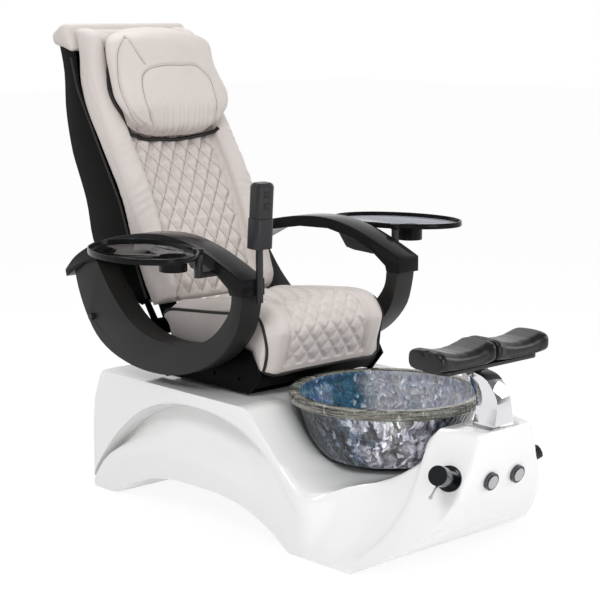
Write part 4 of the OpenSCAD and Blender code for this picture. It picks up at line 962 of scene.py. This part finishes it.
# seams of the pillow, across and up the back in metres
pillowSeams = {
    "panel": [(-0.117, 0.648), (-0.146, 0.714), (-0.135, 0.800), (-0.100, 0.841), (-0.026, 0.855), (0.047, 0.854),
        (0.117, 0.852), (0.163, 0.806), (0.162, 0.753), (0.159, 0.703), (0.150, 0.640)],
    "gusset": [(-0.136, 0.977), (-0.180, 0.931), (-0.200, 0.875), (-0.219, 0.779), (-0.204, 0.699),
        (-0.141, 0.649)],
    "radial": [(-0.141, 0.968), (-0.123, 0.910), (-0.103, 0.860)],
    "welt": [(-0.051, 1.051), (-0.091, 1.036), (-0.131, 1.009), (-0.152, 0.987), (-0.175, 0.960), (-0.190, 0.926),
        (-0.205, 0.873), (-0.216, 0.817), (-0.218, 0.768), (-0.209, 0.726), (-0.191, 0.688), (-0.163, 0.660),
        (-0.140, 0.645), (-0.109, 0.636), (-0.045, 0.632), (0.022, 0.634), (0.113, 0.638),
        (0.170, 0.643), (0.204, 0.650)],
}


pillowSettings = {"voxel": 0.0062, "shrink": 0.004, "rounds": 16, "fill": 0.7, "held": 0.007, "stiffness": 14,
    "bending": 0.6, "pressure": 4.0, "cap": 0.012, "foldDepth": 0.0028,
    "grooves": (("panel", 0.0060, 0.0045), ("gusset", 0.0045, 0.0042), ("radial", 0.0036, 0.0040))}


def makePillow():
    smooth = {k: [(p.x, p.z) for p in flowing([(x, 0, z) for x, z in line], 4)] for k, line in pillowSeams.items()}

    def shape(co):  # fuller to the sides and at its top corners
        q = toBack(co)
        wide = 1.04 if q.x < 0 else 1.05 + 0.06 * clamped((q.z - 0.66) / 0.1)
        corner = 0.021 * bell(q.z - 0.945, 0.05) * clamped(q.x / 0.15, -1.0) * (0.4 if q.x < 0 else 1.0)
        top = 0.022 * max(0.0, (q.z - 0.86) / 0.15)
        return fromBack(q.x * wide + corner, q.y - 0.012 * (q.y < -0.12), q.z + top)

    def pin(co):
        q = toBack(co)
        if q.y > -0.125:
            return 1.0
        return bell(min(toLine(q.x, q.z, smooth[k]) for k in ("panel", "gusset")), pillowSettings["held"])

    def depth(co):
        q = toBack(co)
        if q.y > -0.115:
            return 0.0
        value = sum(groove(toLine(q.x, q.z, smooth[k]), deep, wide) for k, deep, wide in pillowSettings["grooves"])
        if -0.15 < q.x < 0.17 and q.z < 0.80:  # folds that fan up from the lower edge
            fan = q.x / (0.5 + q.z)
            wave = math.sin(fan * 330 + 1.5 * math.sin(fan * 95))
            value += pillowSettings["foldDepth"] * wave * max(0.0, 1 - (q.z - 0.63) / 0.16) ** 1.4
        return value

    return makePadded("headPillow", "head_pillow", pillowSettings, lambda co: toBack(co).y < -0.118, pin, depth,
        greigeLeather, shape)


# leather cover that wraps the shell's top edge: its side profile, from the front lip over the top and down behind
capSettings = {"voxel": 0.0065, "proud": 0.0045, "half": 0.262, "fill": 0.9}
capProfile = [(-0.049, 0.996), (-0.050, 1.101), (0.025, 1.101), (0.028, 1.080), (0.030, 1.068), (-0.010, 1.040)]


def makeBackCap():
    half = capSettings["half"]
    bm = bmesh.new()
    sides = [[bm.verts.new(fromBack(side * half, y, z)) for y, z in capProfile] for side in (-1, 1)]
    bm.faces.new(sides[0])
    bm.faces.new(list(reversed(sides[1])))
    count = len(capProfile)
    for k in range(count):
        j = (k + 1) % count
        bm.faces.new((sides[0][j], sides[0][k], sides[1][k], sides[1][j]))
    bmesh.ops.recalc_face_normals(bm, faces=bm.faces)
    obj = evened(link(stored(bm, bpy.data.meshes.new("backCap")), "backCap"), capSettings["voxel"])
    press(obj, lambda co: -capSettings["proud"])
    relax(obj, 9, lambda co: True)
    press(obj, lambda co: -0.003)
    refine(obj)
    press(obj, lambda co: 0.0)
    paint(obj, greigeLeather)
    print(obj.name, len(obj.data.polygons), "faces")
    return trim(obj, "backrest")


makeBackCap()
headPillow = makePillow()
pillowSurface = surfaceOf(headPillow)

weltRadius = {"pillow": 0.0068, "seat": 0.0048, "back": 0.0042, "hem": 0.0045}
shellEdge = ((0.09, -0.004), (0.132, -0.003), (0.306, -0.019), (0.445, -0.035), (0.637, -0.024), (0.868, -0.014),
    (0.98, -0.036))
# the seat's welt: out from the middle, along and up, in metres
seatEdge = ((0.252, 0.362, 0.622), (0.258, 0.30, 0.634), (0.259, 0.20, 0.644), (0.259, 0.10, 0.652),
    (0.259, 0.02, 0.659), (0.257, -0.06, 0.669), (0.255, -0.115, 0.672), (0.254, -0.146, 0.655),
    (0.253, -0.166, 0.615), (0.253, -0.172, 0.56), (0.255, -0.168, 0.51), (0.256, -0.164, 0.482))


def welt(name, line, kind, body):
    made = grown(sewnPiping, [line], {"Radius": weltRadius[kind], "Finish": weltLeather}, name)
    trim(made, body)


def makeWelts():
    line = [fromBack(x, -0.105, z) for x, z in pillowSeams["welt"]]
    welt("pillowWelt", flowing(hugging(backSurface, line, weltRadius["pillow"] * 0.55)), "pillow", "backrest")
    for side, end in ((-1, "Right"), (1, "Left")):
        marks = [0.10 + 0.055 * k for k in range(17)]
        line = [fromBack(side * 0.2645, between(shellEdge, z) - 0.0015, z) for z in marks]
        welt("backWelt" + end, flowing(line, 3), "back", "backrest")
        line = [Vector((side * x, y, z)) for x, y, z in seatEdge]
        welt("seatWelt" + end, flowing(hugging(seatSurface, line, weltRadius["seat"] * 0.35)), "seat", "carriage")
    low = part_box("seat_cushion")[0]
    hem = [Vector((x, -0.166, low.z + 0.004)) for x in (-0.252, -0.20, -0.10, 0.0, 0.10, 0.20, 0.252)]
    welt("seatHem", flowing(hugging(seatSurface, hem, 0.001), 4), "hem", "carriage")
    print("welts sewn on")


makeWelts()


# thread: double rows beside the back's edges, single rows beside the pillow's and the quilting's edge seams
threadSettings = {"Pitch": 0.0075, "Length": 0.0055, "Thread": 0.0007}
seamRadius = {"pillow": 0.0010, "quilt": 0.0009}
stitchLift = 0.0003
seatRow = ((0.28, 0.69), (0.20, 0.70), (0.10, 0.71), (0.0, 0.72), (-0.06, 0.73), (-0.12, 0.73), (-0.17, 0.71),
    (-0.21, 0.66), (-0.215, 0.60), (-0.20, 0.55), (-0.19, 0.51))
backRear = fromBack(0, 1, 0) - fromBack(0, 0, 0)


def shifted(line, amount):  # the same line moved sideways in the plane of the back
    out = []
    for k, (x, z) in enumerate(line):
        a, b = line[max(0, k - 1)], line[min(len(line) - 1, k + 1)]
        dx, dz = b[0] - a[0], b[1] - a[1]
        size = math.hypot(dx, dz) or 1.0
        out.append((x - dz / size * amount, z + dx / size * amount))
    return out


def onPillow(seam, amount, lift):  # a line beside a seam of the pillow
    flat = [(p.x, p.z) for p in flowing([(x, 0, z) for x, z in pillowSeams[seam]], 6)]
    if amount:
        flat = shifted(flat, amount)
    return laid(pillowSurface, [fromBack(x, -0.24, z) for x, z in flat], backRear, lift)


def backRows():
    rows = []
    for side in (-1, 1):
        for y in (-0.0795, -0.094):
            line = [fromBack(side * 0.29, y, 0.14 + 0.02 * k) for k in range(42)]
            rows.append(hugging(backSurface, line, 0.0002))
        for off in (-0.007, 0.007):
            line = [fromBack(side * (backQuilt["half"] + off), -0.14, 0.10 + 0.02 * k) for k in range(27)]
            rows.append(laid(backSurface, line, backRear, stitchLift))
    return rows


def seatRows():
    rows = []
    for side in (-1, 1):
        for off in (-0.007, 0.007):
            line = []
            for y, z in seatRow:
                p = Vector((0, y, z))
                p.x = side * (seatHalf(p) + off)
                line.append(p)
            rows.append(hugging(seatSurface, flowing(line, 5), 0.0002))
    return rows


def quiltLines():  # the back's diamonds
    s = backQuilt
    rows = []
    for way in (-1, 1):
        for k in range(-2, 17):
            line = []
            for j in range(100):
                z = s["low"] + (s["high"] - 0.05 - s["low"]) * j / 99
                x = way * s["pitch"] * (k - z / s["pitchAlong"])
                if abs(x) < s["half"]:
                    line.append(fromBack(x, -0.13, z))
            if len(line) > 3:
                rows.append(laid(backSurface, line, backRear, 0.0001))
    return rows


def makeStitches():
    seams = [onPillow(seam, 0, 0.0002) for seam in ("panel", "gusset", "radial")]
    beside = (("panel", 0.0065), ("gusset", 0.0065), ("gusset", -0.0065), ("radial", 0.005))
    rows = [onPillow(seam, amount, stitchLift) for seam, amount in beside]
    # dark lines in the pillow's seams and along the back's quilting: part thread, part painted shade in the
    # grooves
    for name, lines, kind in (("pillowSeamLines", seams, "pillow"), ("quiltSeamLines", quiltLines(), "quilt")):
        values = {"Radius": seamRadius[kind], "Finish": seamThreadAndShade}
        trim(grown(sewnPiping, lines, values, name), "backrest")
    values = dict(threadSettings, Finish=greigeThread)
    for name, lines, body in (("pillowStitches", rows, "backrest"), ("backStitches", backRows(), "backrest"),
            ("seatStitches", seatRows(), "carriage")):
        trim(grown(threadStitches, lines, values, name), body)
    print("stitches sewn")


makeStitches()


padSettings = {"voxel": 0.0045, "shrink": 0.002, "rounds": 4, "fill": 0.9, "stiffness": 15, "bending": 0.8,
    "pressure": 4.0, "cap": 0.005}


def makeFootPad(side):
    node = "footrest_pad_" + side
    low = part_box(node)[0].z
    makePadded("footPad" + side.capitalize(), node, padSettings, lambda co: co.z > low + 0.008,
        lambda co: 1.0 if co.z < low + 0.006 else 0.0, lambda co: 0.0, blackVinyl)


for side in ("left", "right"):
    makeFootPad(side)
print("footrest pads ready")


# floor, world and lamps
def seenRays(tree, rays):  # one for what the camera sees, also in mirrors and through glass
    return math2(tree, "MAXIMUM", rays["Is Camera Ray"],
        math2(tree, "MAXIMUM", rays["Is Glossy Ray"], rays["Is Transmission Ray"]))


def makeFloor():
    mesh = bpy.data.meshes.new("floor")
    half = 24.0
    mesh.from_pydata([(-half, -half, 0), (half, -half, 0), (half, half, 0), (-half, half, 0)], [], [(0, 1, 2, 3)])
    obj = link(mesh, "floor")
    material, tree, shader = blank("paleFloor")
    shader.inputs["Base Color"].default_value = (0.88, 0.88, 0.88, 1)
    shader.inputs["Roughness"].default_value = 0.55
    shader.inputs["Specular IOR Level"].default_value = 0.2
    glow = addNode(tree, "ShaderNodeEmission", Strength=1.05)
    seen = seenRays(tree, tree.nodes.new("ShaderNodeLightPath").outputs)
    mix = tree.nodes.new("ShaderNodeMixShader")
    wire(tree, math2(tree, "MULTIPLY", seen, 0.86), mix.inputs[0])
    wire(tree, shader.outputs[0], mix.inputs[1])
    wire(tree, glow.outputs[0], mix.inputs[2])
    wire(tree, mix.outputs[0], tree.nodes["Material Output"].inputs["Surface"])
    mesh.materials.append(material)


roomSettings = {"toward": (-0.36, -0.62, 0.70), "darker": 0.80}


def makeWorld():
    world = bpy.data.worlds.new("studio")
    scene.world = world
    world.use_nodes = True
    tree = world.node_tree
    back = tree.nodes["Background"]
    back.inputs["Color"].default_value = (1, 1, 1, 1)
    rays = tree.nodes.new("ShaderNodeLightPath").outputs
    way = tree.nodes.new("ShaderNodeTexCoord").outputs["Generated"]
    room = vector2(tree, "DOT_PRODUCT", way, roomSettings["toward"])  # a darker room before and above the object
    dark = math2(tree, "MULTIPLY", math2(tree, "ADD", room, 0.05), 2.4, clamp=True)
    dark = math2(tree, "MULTIPLY", math2(tree, "MULTIPLY", dark, rays["Is Glossy Ray"]), roomSettings["darker"])
    level = linear(tree, seenRays(tree, rays), 0.42, 0.58)
    wire(tree, math2(tree, "SUBTRACT", level, dark), back.inputs["Strength"])


lampSettings = {
    "key": {"place": (-2.7, -1.6, 3.4), "size": 1.3, "power": 62},
    "fill": {"place": (2.8, -2.4, 2.0), "size": 1.7, "power": 30},
    "low": {"place": (-0.6, -3.4, 0.9), "size": 1.2, "power": 17},
    "top": {"place": (0.3, 1.6, 3.6), "size": 2.5, "power": 40},
}


def makeLamps():
    for name, spec in lampSettings.items():
        data = bpy.data.lights.new(name, "AREA")
        data.energy = spec["power"]
        data.size = spec["size"]
        lamp = bpy.data.objects.new(name, data)
        scene.collection.objects.link(lamp)
        lamp.location = spec["place"]
        lamp.rotation_euler = (Vector((0, 0, 0.6)) - Vector(spec["place"])).to_track_quat("-Z", "Y").to_euler()


makeFloor()
makeWorld()
makeLamps()
print("stage ready")
